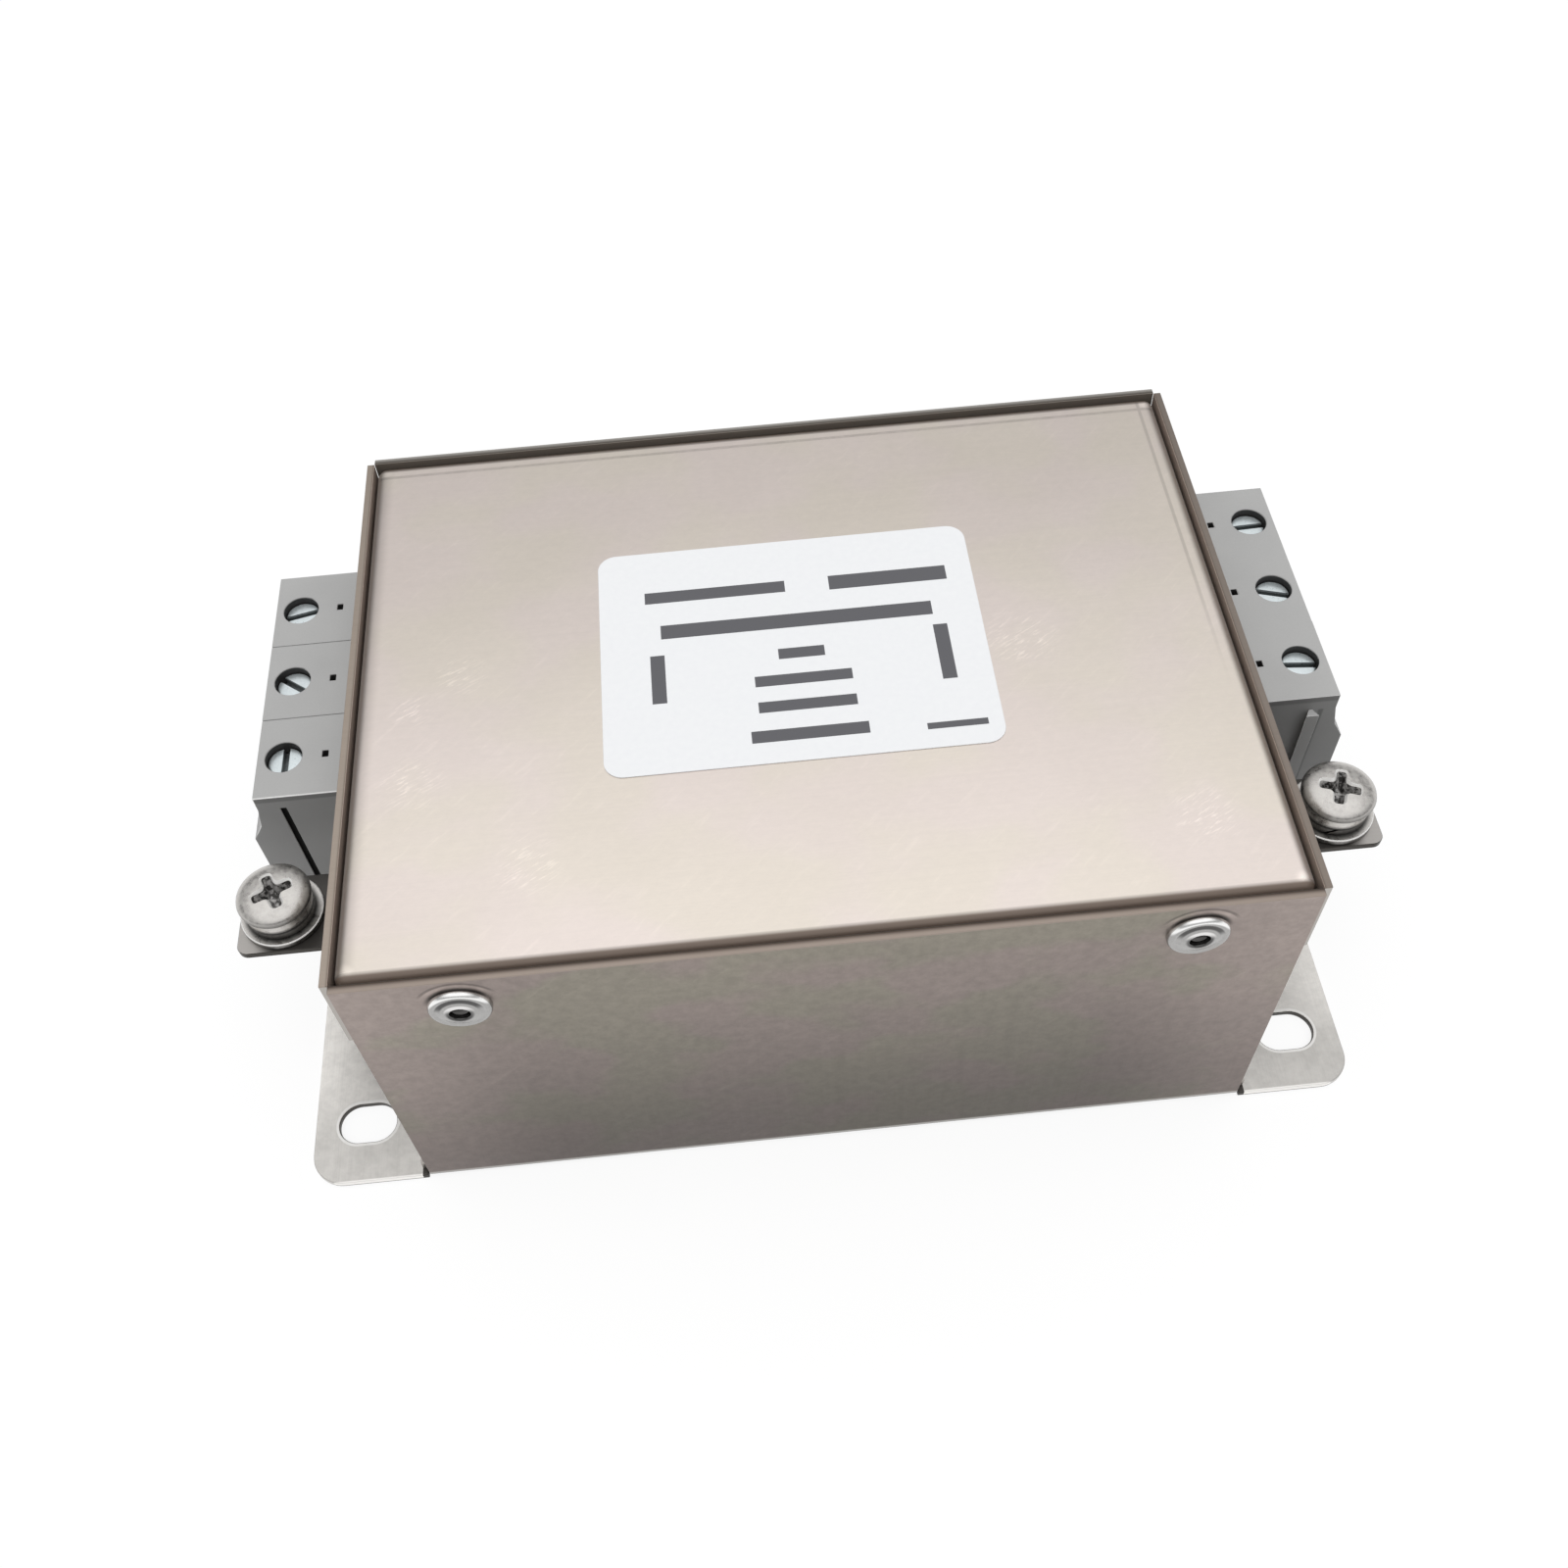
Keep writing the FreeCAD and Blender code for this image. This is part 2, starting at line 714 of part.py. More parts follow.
def circuit_board():
    """A bare board with holes for its screws and for the pins of the contact bars."""
    board = box(-board_end, board_end, -board_side, board_side, board_bottom, board_top)
    low = board_bottom - 1
    high = board_top + 1
    cuts = [rod(board_hole, x, y, low, high) for x, y in spacer_places()]
    for end in (-1, 1):
        for y in pole_places():
            near = end * (bar_back - bar_thickness - winding_play)
            far = end * (bar_back + winding_play)
            half_pin = bar_pin_width / 2 + winding_play
            cuts.append(box(min(near, far), max(near, far), y - half_pin, y + half_pin, low, high))
    return board.cut(cuts)


def insulation_film():
    """A film on the base, cut out for the spacers, with a flap up inside each end plate."""
    end = plate_in - film_end_gap
    half_y = fold_half - film_side_gap
    sheet_top = sheet + film
    flat = box(-end, end, -half_y, half_y, sheet, sheet_top)
    flap_back = terminal_y - half_block - rib_height - film_from_terminal
    flap_top = sheet + film_flap_height
    right = box(end - film, end, -half_y, flap_back, sheet, flap_top)
    left = box(-end, film - end, -half_y, flap_back, sheet, flap_top)
    folded = flat.fuse([left, right]).removeSplitter()
    reach = spacer_across_flats / 2 + film_hole_play
    for x, y in spacer_places():
        folded = folded.cut(box(x - reach, x + reach, y - reach, y + reach,
                                sheet - 1, sheet_top + 1))
    return folded


def board_spacer():
    """A tapped hexagon post, pressed into the base and flush with its underside."""
    post = hexagon(spacer_across_flats, sheet, board_bottom)
    post = post.fuse(rod(spacer_spigot, 0, 0, 0, sheet)).removeSplitter()
    return post.cut(rod(spacer_bore, 0, 0, board_bottom - spacer_bore_depth, board_bottom + 1))


def board_screw():
    """A hexagon-headed screw."""
    head = hexagon(board_screw_across_flats, 0, board_screw_head_height)
    return head.fuse(rod(board_screw_shank, 0, 0, -board_screw_length, 0)).removeSplitter()


def choke_core():
    """A ring core."""
    return moved(ring(core_outside, core_inside, core_height), z=core_bottom)


def choke_winding(phase):
    """Square turns about the core. They touch in the bore, and two ends stand on the board."""
    outer_leg = core_outside / 2 + winding_play
    inner_leg = core_inside / 2 - winding_play
    low = core_bottom - winding_play
    high = core_top + winding_play
    half = wire / 2
    solid = None
    for turn in range(turns_per_phase):
        loop = box(inner_leg - wire, outer_leg + wire, -half, half, low - wire, high + wire)
        loop = loop.cut(box(inner_leg, outer_leg, -wire, wire, low, high))
        if turn in (0, turns_per_phase - 1):
            loop = loop.fuse(box(outer_leg, outer_leg + wire, -half, half, board_top, low))
        loop = moved(loop, turn=winding_angle(phase, turn))
        solid = loop if solid is None else solid.fuse(loop)
    return solid.removeSplitter()


def choke_base():
    """A six-sided plate that carries the choke clear of the board."""
    return hexagon(choke_base_across_flats, board_top, board_top + choke_base_height)


def choke_divider():
    """A hub with three arms that keep the windings apart."""
    low = board_top + choke_base_height
    divider = rod(divider_hub_diameter, 0, 0, low, core_top)
    reach = core_inside / 2 - 2 * winding_play
    half = divider_thickness / 2
    for phase in range(3):
        arm = box(0, reach, -half, half, low, core_top)
        divider = divider.fuse(moved(arm, turn=divider_turn + 120 * phase))
    return divider.removeSplitter()


def lead_pair(spacing, top):
    """Two straight leads, soldered where they meet the board."""
    half = spacing / 2
    return [rod(component_lead, end, 0, board_top, top) for end in (-half, half)]


def x_capacitor():
    """A potted box that sits flat on the board, over its own solder pins."""
    half_x = x_capacitor_length / 2
    half_y = x_capacitor_width / 2
    body = box(-half_x, half_x, -half_y, half_y, board_top, board_top + x_capacitor_height)
    top = board_top + x_capacitor_height
    rims = [edge for edge in body.Edges if edge.CenterOfMass.z > top - 1e-3]
    return body.makeChamfer(x_capacitor_chamfer, rims)


def y_capacitor():
    """A dipped disc that stands on two leads."""
    radius = y_capacitor_diameter / 2
    middle = board_top + y_capacitor_lift + radius
    start = Vector(0, -y_capacitor_thickness / 2, middle)
    disc = Part.makeCylinder(radius, y_capacitor_thickness, start, Vector(0, 1, 0))
    return disc.fuse(lead_pair(y_capacitor_leads, middle)).removeSplitter()


def discharge_resistor():
    """A resistor lying above the board, its leads bent down."""
    middle = board_top + resistor_lift + resistor_diameter / 2
    axis = Vector(1, 0, 0)
    body = Part.makeCylinder(resistor_diameter / 2, resistor_length,
                             Vector(-resistor_length / 2, 0, middle), axis)
    half = resistor_leads / 2
    lead = Part.makeCylinder(component_lead / 2, resistor_leads, Vector(-half, 0, middle), axis)
    return body.fuse([lead] + lead_pair(resistor_leads, middle)).removeSplitter()


def terminal_pieces():
    """Modules, cages and bars. The line block is the load block turned half round."""
    pieces = {}
    for number, y in enumerate(pole_places(), start=1):
        pieces[f"load_terminal_{number}"] = moved(terminal_module(load_module_play), y=y)
        pieces[f"line_terminal_{number}"] = moved(terminal_module(line_module_play), y=y, turn=180)
        pieces[f"load_clamp_cage_{number}"] = moved(clamp_cage(), y=y)
        pieces[f"line_clamp_cage_{number}"] = moved(clamp_cage(), y=y, turn=180)
        pieces[f"load_contact_bar_{number}"] = moved(contact_bar(), y=y)
        pieces[f"line_contact_bar_{number}"] = moved(contact_bar(), y=y, turn=180)
    screws = []
    for y, line_turn, load_turn in zip(pole_places(), line_screw_turns, load_screw_turns):
        screws.append(moved(clamp_screw(line_turn), x=-clamp_screw_x, y=y))
        screws.append(moved(clamp_screw(load_turn), x=clamp_screw_x, y=y))
    pieces["clamp_screws"] = Part.makeCompound(screws)
    return pieces


def board_pieces():
    """The board and everything that is soldered or screwed to it."""
    pieces = {
        "circuit_board": circuit_board(),
        "insulation_film": insulation_film(),
        "board_spacers": Part.makeCompound([moved(board_spacer(), x, y)
                                            for x, y in spacer_places()]),
        "board_screws": Part.makeCompound([moved(board_screw(), x, y, board_top)
                                           for x, y in spacer_places()]),
        "choke_core": choke_core(),
        "choke_base": choke_base(),
        "choke_divider": choke_divider(),
    }
    for number, y in enumerate(capacitor_places(), start=1):
        pieces[f"choke_winding_{number}"] = choke_winding(number - 1)
        pieces[f"line_x_capacitor_{number}"] = moved(x_capacitor(), -x_capacitor_x, y)
        pieces[f"load_x_capacitor_{number}"] = moved(x_capacitor(), x_capacitor_x, y)
    for number, x in enumerate(small_part_places(), start=1):
        pieces[f"y_capacitor_{number}"] = moved(y_capacitor(), x, -small_part_y)
        pieces[f"discharge_resistor_{number}"] = moved(discharge_resistor(), x, small_part_y)
    return pieces


def earth_pieces():
    """The screws, washers and nuts on the two earth tabs."""
    height = earth_head_bottom
    return {
        "earth_screws": Part.makeCompound([
            moved(earth_screw(line_earth_turn), -earth_screw_x, earth_y, height),
            moved(earth_screw(load_earth_turn), earth_screw_x, earth_y, height)]),
        "spring_washers": earth_pair(spring_washer(), spring_washer_bottom,
                                     line_split_turn, load_split_turn),
        "flat_washers": earth_pair(ring(flat_washer_diameter, flat_washer_hole,
                                        flat_washer_thickness), earth_tab_top),
        "earth_nuts": earth_pair(earth_nut(), earth_tab_top - sheet,
                                 earth_nut_turn, earth_nut_turn),
    }


pieces = {
    "base_channel": base_channel(),
    "load_end_plate": end_plate(),
    "line_end_plate": line_end_plate(),
    "lid": lid(),
    "lid_label": lid_label(),
    "lid_rivets": lid_rivets(),
    "rivet_mandrels": rivet_mandrels(),
}
pieces.update(terminal_pieces())
pieces.update(earth_pieces())
pieces.update(board_pieces())

os.makedirs("parts", exist_ok=True)
for name, shape in pieces.items():
    shape.exportStep(f"parts/{name}.step")
print(len(pieces), "nodes")
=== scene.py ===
# Three-phase mains filter in a steel case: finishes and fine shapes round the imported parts.
import math

import bmesh
import bpy
from mathutils import Matrix, Vector


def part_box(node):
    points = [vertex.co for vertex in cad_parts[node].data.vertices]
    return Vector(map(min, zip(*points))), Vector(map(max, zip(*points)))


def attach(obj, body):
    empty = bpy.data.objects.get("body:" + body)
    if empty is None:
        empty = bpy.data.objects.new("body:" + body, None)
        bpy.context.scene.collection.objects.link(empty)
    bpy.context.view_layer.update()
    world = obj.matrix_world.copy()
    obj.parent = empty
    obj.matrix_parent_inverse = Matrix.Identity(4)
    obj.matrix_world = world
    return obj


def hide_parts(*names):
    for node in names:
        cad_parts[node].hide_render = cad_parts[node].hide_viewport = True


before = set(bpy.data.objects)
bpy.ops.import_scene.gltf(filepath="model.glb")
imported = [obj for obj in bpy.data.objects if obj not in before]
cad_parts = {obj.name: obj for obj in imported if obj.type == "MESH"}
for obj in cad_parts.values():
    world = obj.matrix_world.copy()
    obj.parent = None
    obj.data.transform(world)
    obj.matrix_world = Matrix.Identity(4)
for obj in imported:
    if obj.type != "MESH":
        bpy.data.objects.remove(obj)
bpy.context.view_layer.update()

mm = 0.001


# The base is a channel of 0.8 mm stainless sheet: the bottom, two long walls folded up from it
# and a slotted flange at each end. The sheet keeps the fine lines of the rolling mill and the
# smudges of handling, and its sheared edges are brown.
class Wire:
    """An output of a node, to be used in sums."""

    def __init__(self, nodes, socket):
        self.nodes = nodes
        self.socket = socket

    def beside(self, name):
        """Another output of the same node."""
        return Wire(self.nodes, self.socket.node.outputs[name])

    def maths(self, operation, first, second):
        """A Math node on two values, each a wire or a number."""
        return self.nodes.add("ShaderNodeMath", {"operation": operation}, {0: first, 1: second})

    def __add__(self, other):
        return self.maths("ADD", self, other)

    def __sub__(self, other):
        return self.maths("SUBTRACT", self, other)

    def __rsub__(self, other):
        return self.maths("SUBTRACT", other, self)

    def __mul__(self, other):
        return self.maths("MULTIPLY", self, other)

    def __truediv__(self, other):
        return self.maths("DIVIDE", self, other)

    def __gt__(self, other):
        return self.maths("GREATER_THAN", self, other)

    def __lt__(self, other):
        return self.maths("LESS_THAN", self, other)

    __radd__ = __add__
    __rmul__ = __mul__


class Nodes:
    """A node tree that is filled one node at a time."""

    def __init__(self, tree):
        self.tree = tree
        self.tree.nodes.clear()

    def add(self, kind, settings=None, values=None, output=0):
        """Adds a node, sets it up and fills its sockets. Returns one of its outputs."""
        node = self.tree.nodes.new(kind)
        for name, value in (settings or {}).items():
            setattr(node, name, value)
        for name, value in (values or {}).items():
            if isinstance(value, Wire):
                self.tree.links.new(value.socket, node.inputs[name])
            else:
                node.inputs[name].default_value = value
        return Wire(self, node.outputs[output]) if node.outputs else node

    def place(self):
        """The place on the piece, in millimetres."""
        coordinates = self.add("ShaderNodeTexCoord", output="Object")
        return self.scaled(coordinates, (1 / mm, 1 / mm, 1 / mm))

    def scaled(self, vector, factors):
        """A vector times a factor along each axis."""
        return self.add("ShaderNodeVectorMath", {"operation": "MULTIPLY"},
                        {0: vector, 1: factors})

    def parts(self, vector):
        """The X, Y and Z of a vector."""
        x = self.add("ShaderNodeSeparateXYZ", values={0: vector})
        return x, x.beside("Y"), x.beside("Z")

    def noise(self, vector, cells=1.0, detail=2.0, rough=0.5):
        """Noise from 0 to 1, with so many cells to one unit of the vector."""
        factors = cells if isinstance(cells, tuple) else (cells, cells, cells)
        return self.add("ShaderNodeTexNoise", {"noise_dimensions": "3D"},
                        {"Vector": self.scaled(vector, factors), "Scale": 1.0,
                         "Detail": detail, "Roughness": rough})

    def size(self, value):
        """The value without its sign."""
        return self.add("ShaderNodeMath", {"operation": "ABSOLUTE"}, {0: value})

    def largest(self, first, second):
        """The larger of two values."""
        return self.add("ShaderNodeMath", {"operation": "MAXIMUM"}, {0: first, 1: second})

    def distance(self, first, second):
        """How far off a spot is that lies so far along and so far across."""
        return self.add("ShaderNodeMath", {"operation": "SQRT"},
                        {0: first * first + second * second})

    def line(self, value, middle, half):
        """1 where the value is near the middle of a thin line, 0 away from it."""
        return 1.0 - self.ramp(self.size(value - middle), 0.4 * half, half)

    def ramp(self, value, low, high):
        """0 below low, 1 above high, and smooth between."""
        return self.add("ShaderNodeMapRange", {"interpolation_type": "SMOOTHSTEP"},
                        {"Value": value, "From Min": low, "From Max": high})

    def mix(self, share, first, second):
        """A colour between two colours."""
        return self.add("ShaderNodeMix", {"data_type": "RGBA"},
                        {0: share, 6: first, 7: second}, output=2)

    def shade(self, colour, amount):
        """A colour made lighter or darker all through by a factor."""
        grey = self.add("ShaderNodeCombineColor", values={0: amount, 1: amount, 2: amount})
        return self.tint(colour, grey)

    def tint(self, colour, factors):
        """A colour times another colour."""
        return self.add("ShaderNodeMix", {"data_type": "RGBA", "blend_type": "MULTIPLY"},
                        {0: 1.0, 6: colour, 7: factors}, output=2)

    def facing(self):
        """The X, Y and Z of the way the surface faces."""
        return self.parts(self.add("ShaderNodeTexCoord", output="Normal"))

    def bump(self, height, distance, strength):
        """A fine relief, as deep as the distance where the height goes from 0 to 1."""
        return self.add("ShaderNodeBump", values={"Height": height, "Distance": distance,
                                                  "Strength": strength})

    def surface(self, values):
        """Ends a material with one shader."""
        shader = self.add("ShaderNodeBsdfPrincipled", values=values)
        self.add("ShaderNodeOutputMaterial", values={"Surface": shader})


def new_material(name):
    """A material and its empty node tree."""
    material = bpy.data.materials.new(name)
    material.use_nodes = True
    return material, Nodes(material.node_tree)


def rgb(red, green, blue):
    """A colour that isn't see-through."""
    return (red, green, blue, 1)


def merged(shape):
    """Joins the loose triangles of a mesh into whole faces."""
    bmesh.ops.remove_doubles(shape, verts=shape.verts, dist=0.001 * mm)
    bmesh.ops.dissolve_limit(shape, angle_limit=math.radians(0.5), use_dissolve_boundaries=False,
                             verts=shape.verts, edges=shape.edges)


def plain_mesh(piece):
    """Turns what a piece's modifiers make into its own mesh."""
    seen = piece.evaluated_get(bpy.context.evaluated_depsgraph_get())
    mesh = bpy.data.meshes.new_from_object(seen)
    piece.modifiers.clear()
    piece.data = mesh
    return mesh


def smoothed(mesh, angle=35.0):
    """Shades a mesh smooth, but for the edges that turn by more than an angle in degrees."""
    mesh.shade_smooth()
    mesh.set_sharp_from_angle(angle=math.radians(angle))


def joined_to_root(piece, slot, *nodes):
    """Hides the CAD nodes that a new piece stands for, and keeps the piece with the case."""
    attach(piece, "root")
    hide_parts(*nodes)


def softened(node, name, material, slot, edge=0.1 * mm, sharp_at=()):
    """A copy of a CAD node with its edges broken, but for those in the planes y = sharp_at."""
    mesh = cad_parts[node].data.copy()
    shape = bmesh.new()
    shape.from_mesh(mesh)
    merged(shape)
    weight = shape.edges.layers.float.new("bevel_weight_edge")
    for line in shape.edges:
        first_y, second_y = [end.co.y for end in line.verts]
        kept = any(abs(first_y - y) + abs(second_y - y) < 0.1 * mm for y in sharp_at)
        if line.calc_face_angle(0.0) > math.radians(35) and not kept:
            line[weight] = 1.0
    shape.to_mesh(mesh)
    shape.free()
    smoothed(mesh)
    piece = bpy.data.objects.new(name, mesh)
    bpy.context.collection.objects.link(piece)
    bevel = piece.modifiers.new("Broken edges", "BEVEL")
    bevel.width = edge
    bevel.segments = 2
    bevel.limit_method = "WEIGHT"
    bevel.use_clamp_overlap = True
    even = piece.modifiers.new("Flat faces", "WEIGHTED_NORMAL")
    even.keep_sharp = True
    mesh = plain_mesh(piece)
    mesh.materials.clear()
    mesh.materials.append(material)
    joined_to_root(piece, slot, node)


def sheet_grain(nodes, place, across):
    """Fine parallel lines. across is large along the axes that the lines step over."""
    fine = nodes.noise(place, across, detail=3.0, rough=0.65)
    coarse = nodes.noise(place, tuple(0.22 * value for value in across))
    return 0.6 * fine + 0.4 * coarse


def slanting_wipes(nodes, first, second, along, across):
    """Faint marks that run aslant on a face, from 0 to 1."""
    slant = nodes.add("ShaderNodeCombineXYZ", values={0: (first + second) * along,
                                                      1: (first - second) * across, 2: 0.0})
    return nodes.ramp(nodes.noise(slant, detail=4.0, rough=0.6), 0.56, 0.72)


# The thickness of the sheet, the case's outer faces, the slots and the rivet heads.
sheet = 0.8
case_end = 46.25
base_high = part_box("base_channel")[1] / mm
wall_face, wall_top = base_high.y, base_high.z
slot_x, slot_y, slot_radius, slot_reach = 52.8, 28.0, 2.35, 0.9
rivet_radius = 3.0
rivet_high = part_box("lid_rivets")[1] / mm
rivet_x, rivet_z = rivet_high.x - rivet_radius, rivet_high.z - rivet_radius
base_material, nodes = new_material("Base sheet")
place = nodes.place()
x, y, z = nodes.parts(place)
end_x, side_y = nodes.size(x), nodes.size(y)
at_back = y > 0.0
on_case = end_x < case_end + 0.05
grain = sheet_grain(nodes, place, (7.0, 0.04, 0.04))
mottle = nodes.ramp(nodes.noise(place, 0.8, detail=5.0, rough=0.7), 0.3, 0.7)
clouds = nodes.noise(place, (0.10, 0.10, 0.15), detail=3.0, rough=0.55)
patches = nodes.noise(place, (0.07, 0.06, 0.10), detail=3.0)
patches = nodes.ramp(patches - 0.12 * nodes.ramp(end_x, 22.0, 42.0), 0.42, 0.56)
wipes = slanting_wipes(nodes, x, z, 0.06, 0.5)

# The flanges are rubbed bright, with painted shade towards their front and back edges. Each slot
# has a painted highlight on its lip and painted shade in its cut, and the outer rim has a painted
# highlight over a lower edge in painted shade.
flange_colour = nodes.shade(rgb(0.70, 0.68, 0.65), 0.80 + 0.28 * grain + 0.14 * mottle)
flange_colour = nodes.shade(flange_colour, 1.10 - 0.36 * nodes.ramp(side_y, 21.0, 31.0))
flange_colour = nodes.shade(flange_colour, 1.20 - 0.10 * (x > 0.0))
from_slot = nodes.distance(nodes.largest(nodes.size(end_x - slot_x) - slot_reach, 0.0),
                           side_y - slot_y) - slot_radius
slot_glint = 0.7 * nodes.line(from_slot, 0.25, 0.2)
flange_colour = nodes.mix(slot_glint, flange_colour, rgb(0.95, 0.94, 0.92))
in_slot_shade = (from_slot < 0.09) * (z < sheet - 0.02)
flange_colour = nodes.mix(in_slot_shade, flange_colour, rgb(0.06, 0.055, 0.05))
rim_glint_and_shade = nodes.mix(nodes.ramp(z, 0.15, 0.3), rgb(0.14, 0.13, 0.12), rgb(0.95, 0.93, 0.90))
on_rim = nodes.ramp(side_y, wall_face - 0.28, wall_face - 0.14)
flange_colour = nodes.mix(on_rim, flange_colour, rim_glint_and_shade)

# The walls are painted darker low down, a painted shade, and lighter towards the ends, most of
# all low down, a painted reflection of the flanges, with faint clouds and patches.
height = nodes.ramp(z, 0.0, 44.0)
wall_colour = nodes.mix(height, rgb(0.112, 0.097, 0.088), rgb(0.282, 0.249, 0.226))
near_end = nodes.ramp(end_x, 28.0, 46.0)
wall_colour = nodes.shade(wall_colour, 1.0 + near_end * (0.62 - 0.40 * height))
patch_tint = nodes.mix(patches, rgb(1.035, 0.985, 0.995), rgb(0.975, 1.01, 0.925))
wall_colour = nodes.tint(wall_colour, patch_tint)
wall_colour = nodes.shade(wall_colour, 0.75 + 0.19 * mottle + 0.30 * clouds + 0.08 * wipes)

# Over each rivet head the wall is painted with the head's shadow, a dark arc at its edge, and
# beyond that with a painted reflection of the head, a thin pale arc and a thin dark one.
from_head = nodes.distance(end_x - rivet_x, z - rivet_z) - rivet_radius
over_head = nodes.ramp(z, rivet_z + 0.3, rivet_z + 2.1)
beyond = nodes.ramp(z, rivet_z + 1.7, rivet_z + 2.9)
head_shadow_arc = over_head * (1.0 - nodes.ramp(from_head, 0.0, 0.5))
wall_colour = nodes.shade(wall_colour, 1.0 - 0.88 * head_shadow_arc)
pale_reflection_arc = beyond * nodes.line(from_head, 0.65, 0.3)
wall_colour = nodes.shade(wall_colour, 1.0 + 0.35 * pale_reflection_arc)
dark_reflection_arc = beyond * nodes.line(from_head, 1.05, 0.22)
wall_colour = nodes.shade(wall_colour, 1.0 - 0.35 * dark_reflection_arc)

# All together: the wall over the flange, the painted shade in the fold at its foot, the brown
# sheared edge on top of it, painted dark across its inner half as the shade of the gap by the
# lid, and its inner side, painted a dull brown for the light in the gap by the lid, darker at the
# front.
wall = nodes.ramp(side_y, wall_face - 1.4, wall_face - 0.4) * on_case
wall = wall * nodes.ramp(z, sheet + 0.1, sheet + 0.8)
colour = nodes.mix(wall, flange_colour, wall_colour)
fold = nodes.ramp(side_y, wall_face - 1.6, wall_face - 1.0) * on_case
fold = fold * (1.0 - nodes.ramp(z, sheet - 0.1, sheet + 0.7))
colour = nodes.mix(fold, colour, rgb(0.045, 0.040, 0.037))
cut_outer = nodes.mix(at_back, rgb(0.36, 0.30, 0.26), rgb(0.46, 0.44, 0.41))
cut_inner_shade = nodes.mix(at_back, rgb(0.070, 0.052, 0.042), rgb(0.13, 0.115, 0.10))
across_cut = nodes.ramp(side_y - 0.1 * at_back, wall_face - sheet, wall_face - 0.2)
cut_colour = nodes.mix(across_cut, cut_inner_shade, cut_outer)
cut = nodes.ramp(z, wall_top - 0.2, wall_top - 0.08)
colour = nodes.mix(cut, colour, cut_colour)
inside = (side_y < wall_face - sheet + 0.05) * nodes.ramp(z, 1.0, 2.0) * on_case
inside_shade_colour = nodes.mix(at_back, rgb(0.09, 0.075, 0.065), rgb(0.20, 0.175, 0.15))
colour = nodes.mix(inside, colour, inside_shade_colour)
nodes.surface({
    "Base Color": colour,
    "Metallic": 1.0 - 0.7 * inside,
    "Roughness": 0.30 + 0.10 * grain + 0.12 * clouds,
    "Normal": nodes.bump(grain, 0.003 * mm, 0.4),
})
softened("base_channel", "base_sheet", base_material, "case_steel", edge=0.12 * mm)


# The two end plates are of the same sheet, folded behind the long walls and spot welded to
# them. Each has a window for its terminal block and a tab lanced out for the earth screw.
plate_inner = case_end - sheet
tab_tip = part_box("load_end_plate")[1].x / mm
plate_material, nodes = new_material("End plate sheet")
place = nodes.place()
x, y, z = nodes.parts(place)
end_x = nodes.size(x)
facing_z = nodes.facing()[2]
load_side = x > 0.0
grain = sheet_grain(nodes, place, (0.04, 7.0, 0.04))
clouds = nodes.noise(place, 0.1, detail=3.0, rough=0.6)
colour = nodes.mix(clouds, rgb(0.40, 0.375, 0.35), rgb(0.54, 0.51, 0.475))
# The sheared top edge is brown, painted dark across its inner half as the shade of the gap by the
# lid.
cut_outer = nodes.mix(load_side, rgb(0.40, 0.34, 0.29), rgb(0.27, 0.23, 0.20))
across_cut = nodes.ramp(end_x, plate_inner - 0.1, plate_inner + 0.3)
cut_colour = nodes.mix(across_cut, rgb(0.12, 0.095, 0.08), cut_outer)
cut = nodes.ramp(z, wall_top - 0.2, wall_top - 0.08)
colour = nodes.mix(cut, colour, cut_colour)
# The inner side is painted a pale dull brown, a painted light in the gap by the lid.
inside = (end_x < plate_inner + 0.05) * nodes.ramp(z, 1.0, 2.0)
colour = nodes.mix(inside, colour, rgb(0.40, 0.32, 0.27))
# The tab is painted dark towards the plate, a painted shadow of the screw and washers, and its
# edges are painted dark as shade; only its tip stays pale.
near_tip = nodes.ramp(end_x, tab_tip - 4.3, tab_tip - 1.8)
tab_shaded_colour = nodes.mix(near_tip, rgb(0.09, 0.085, 0.08), rgb(0.46, 0.44, 0.42))
tab_shaded_colour = nodes.mix(facing_z < 0.9, tab_shaded_colour, rgb(0.05, 0.045, 0.04))
colour = nodes.mix(end_x > case_end + 1.05, colour, tab_shaded_colour)
colour = nodes.shade(colour, 0.86 + 0.24 * grain)
nodes.surface({
    "Base Color": colour,
    "Metallic": 1.0 - 0.7 * inside,
    "Roughness": 0.27 + 0.16 * grain + 0.06 * clouds,
    "Normal": nodes.bump(grain, 0.004 * mm, 0.5),
})
for end in ("line", "load"):
    softened(f"{end}_end_plate", f"{end}_end_sheet", plate_material, "case_steel")


# The lid is a shallow tray of the same sheet, let in between the walls. It is brushed along
# its length, with faint wipe marks, a few short scratches and the line of a press brake.
lid_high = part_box("lid")[1] / mm
lid_material, nodes = new_material("Lid sheet")
place = nodes.place()
x, y, z = nodes.parts(place)
facing_y, facing_z = nodes.facing()[1:]
grain = sheet_grain(nodes, place, (0.03, 6.0, 6.0))
clouds = nodes.noise(place, (0.05, 0.06, 0.06), detail=4.0, rough=0.6)
patches = nodes.ramp(nodes.noise(place, (0.08, 0.09, 0.09), detail=2.0), 0.38, 0.62)
mottle = nodes.noise(place, (0.9, 1.4, 1.4), detail=5.0, rough=0.7)
wipes = slanting_wipes(nodes, x, y, 0.14, 0.9)
colour = nodes.mix(clouds, rgb(0.655, 0.60, 0.54), rgb(0.74, 0.675, 0.62))
colour = nodes.tint(colour, nodes.mix(patches, rgb(1.01, 0.992, 1.02), rgb(1.0, 1.0, 0.985)))
colour = nodes.shade(colour, 0.94 + 0.09 * grain + 0.14 * mottle + 0.07 * wipes * clouds)
# The colour is painted lighter towards the front and darker towards the back, a painted
# reflection of the sky.
colour = nodes.shade(colour, 1.12 - 0.15 * nodes.ramp(y, 1.0 - lid_high.y, lid_high.y - 4.0))

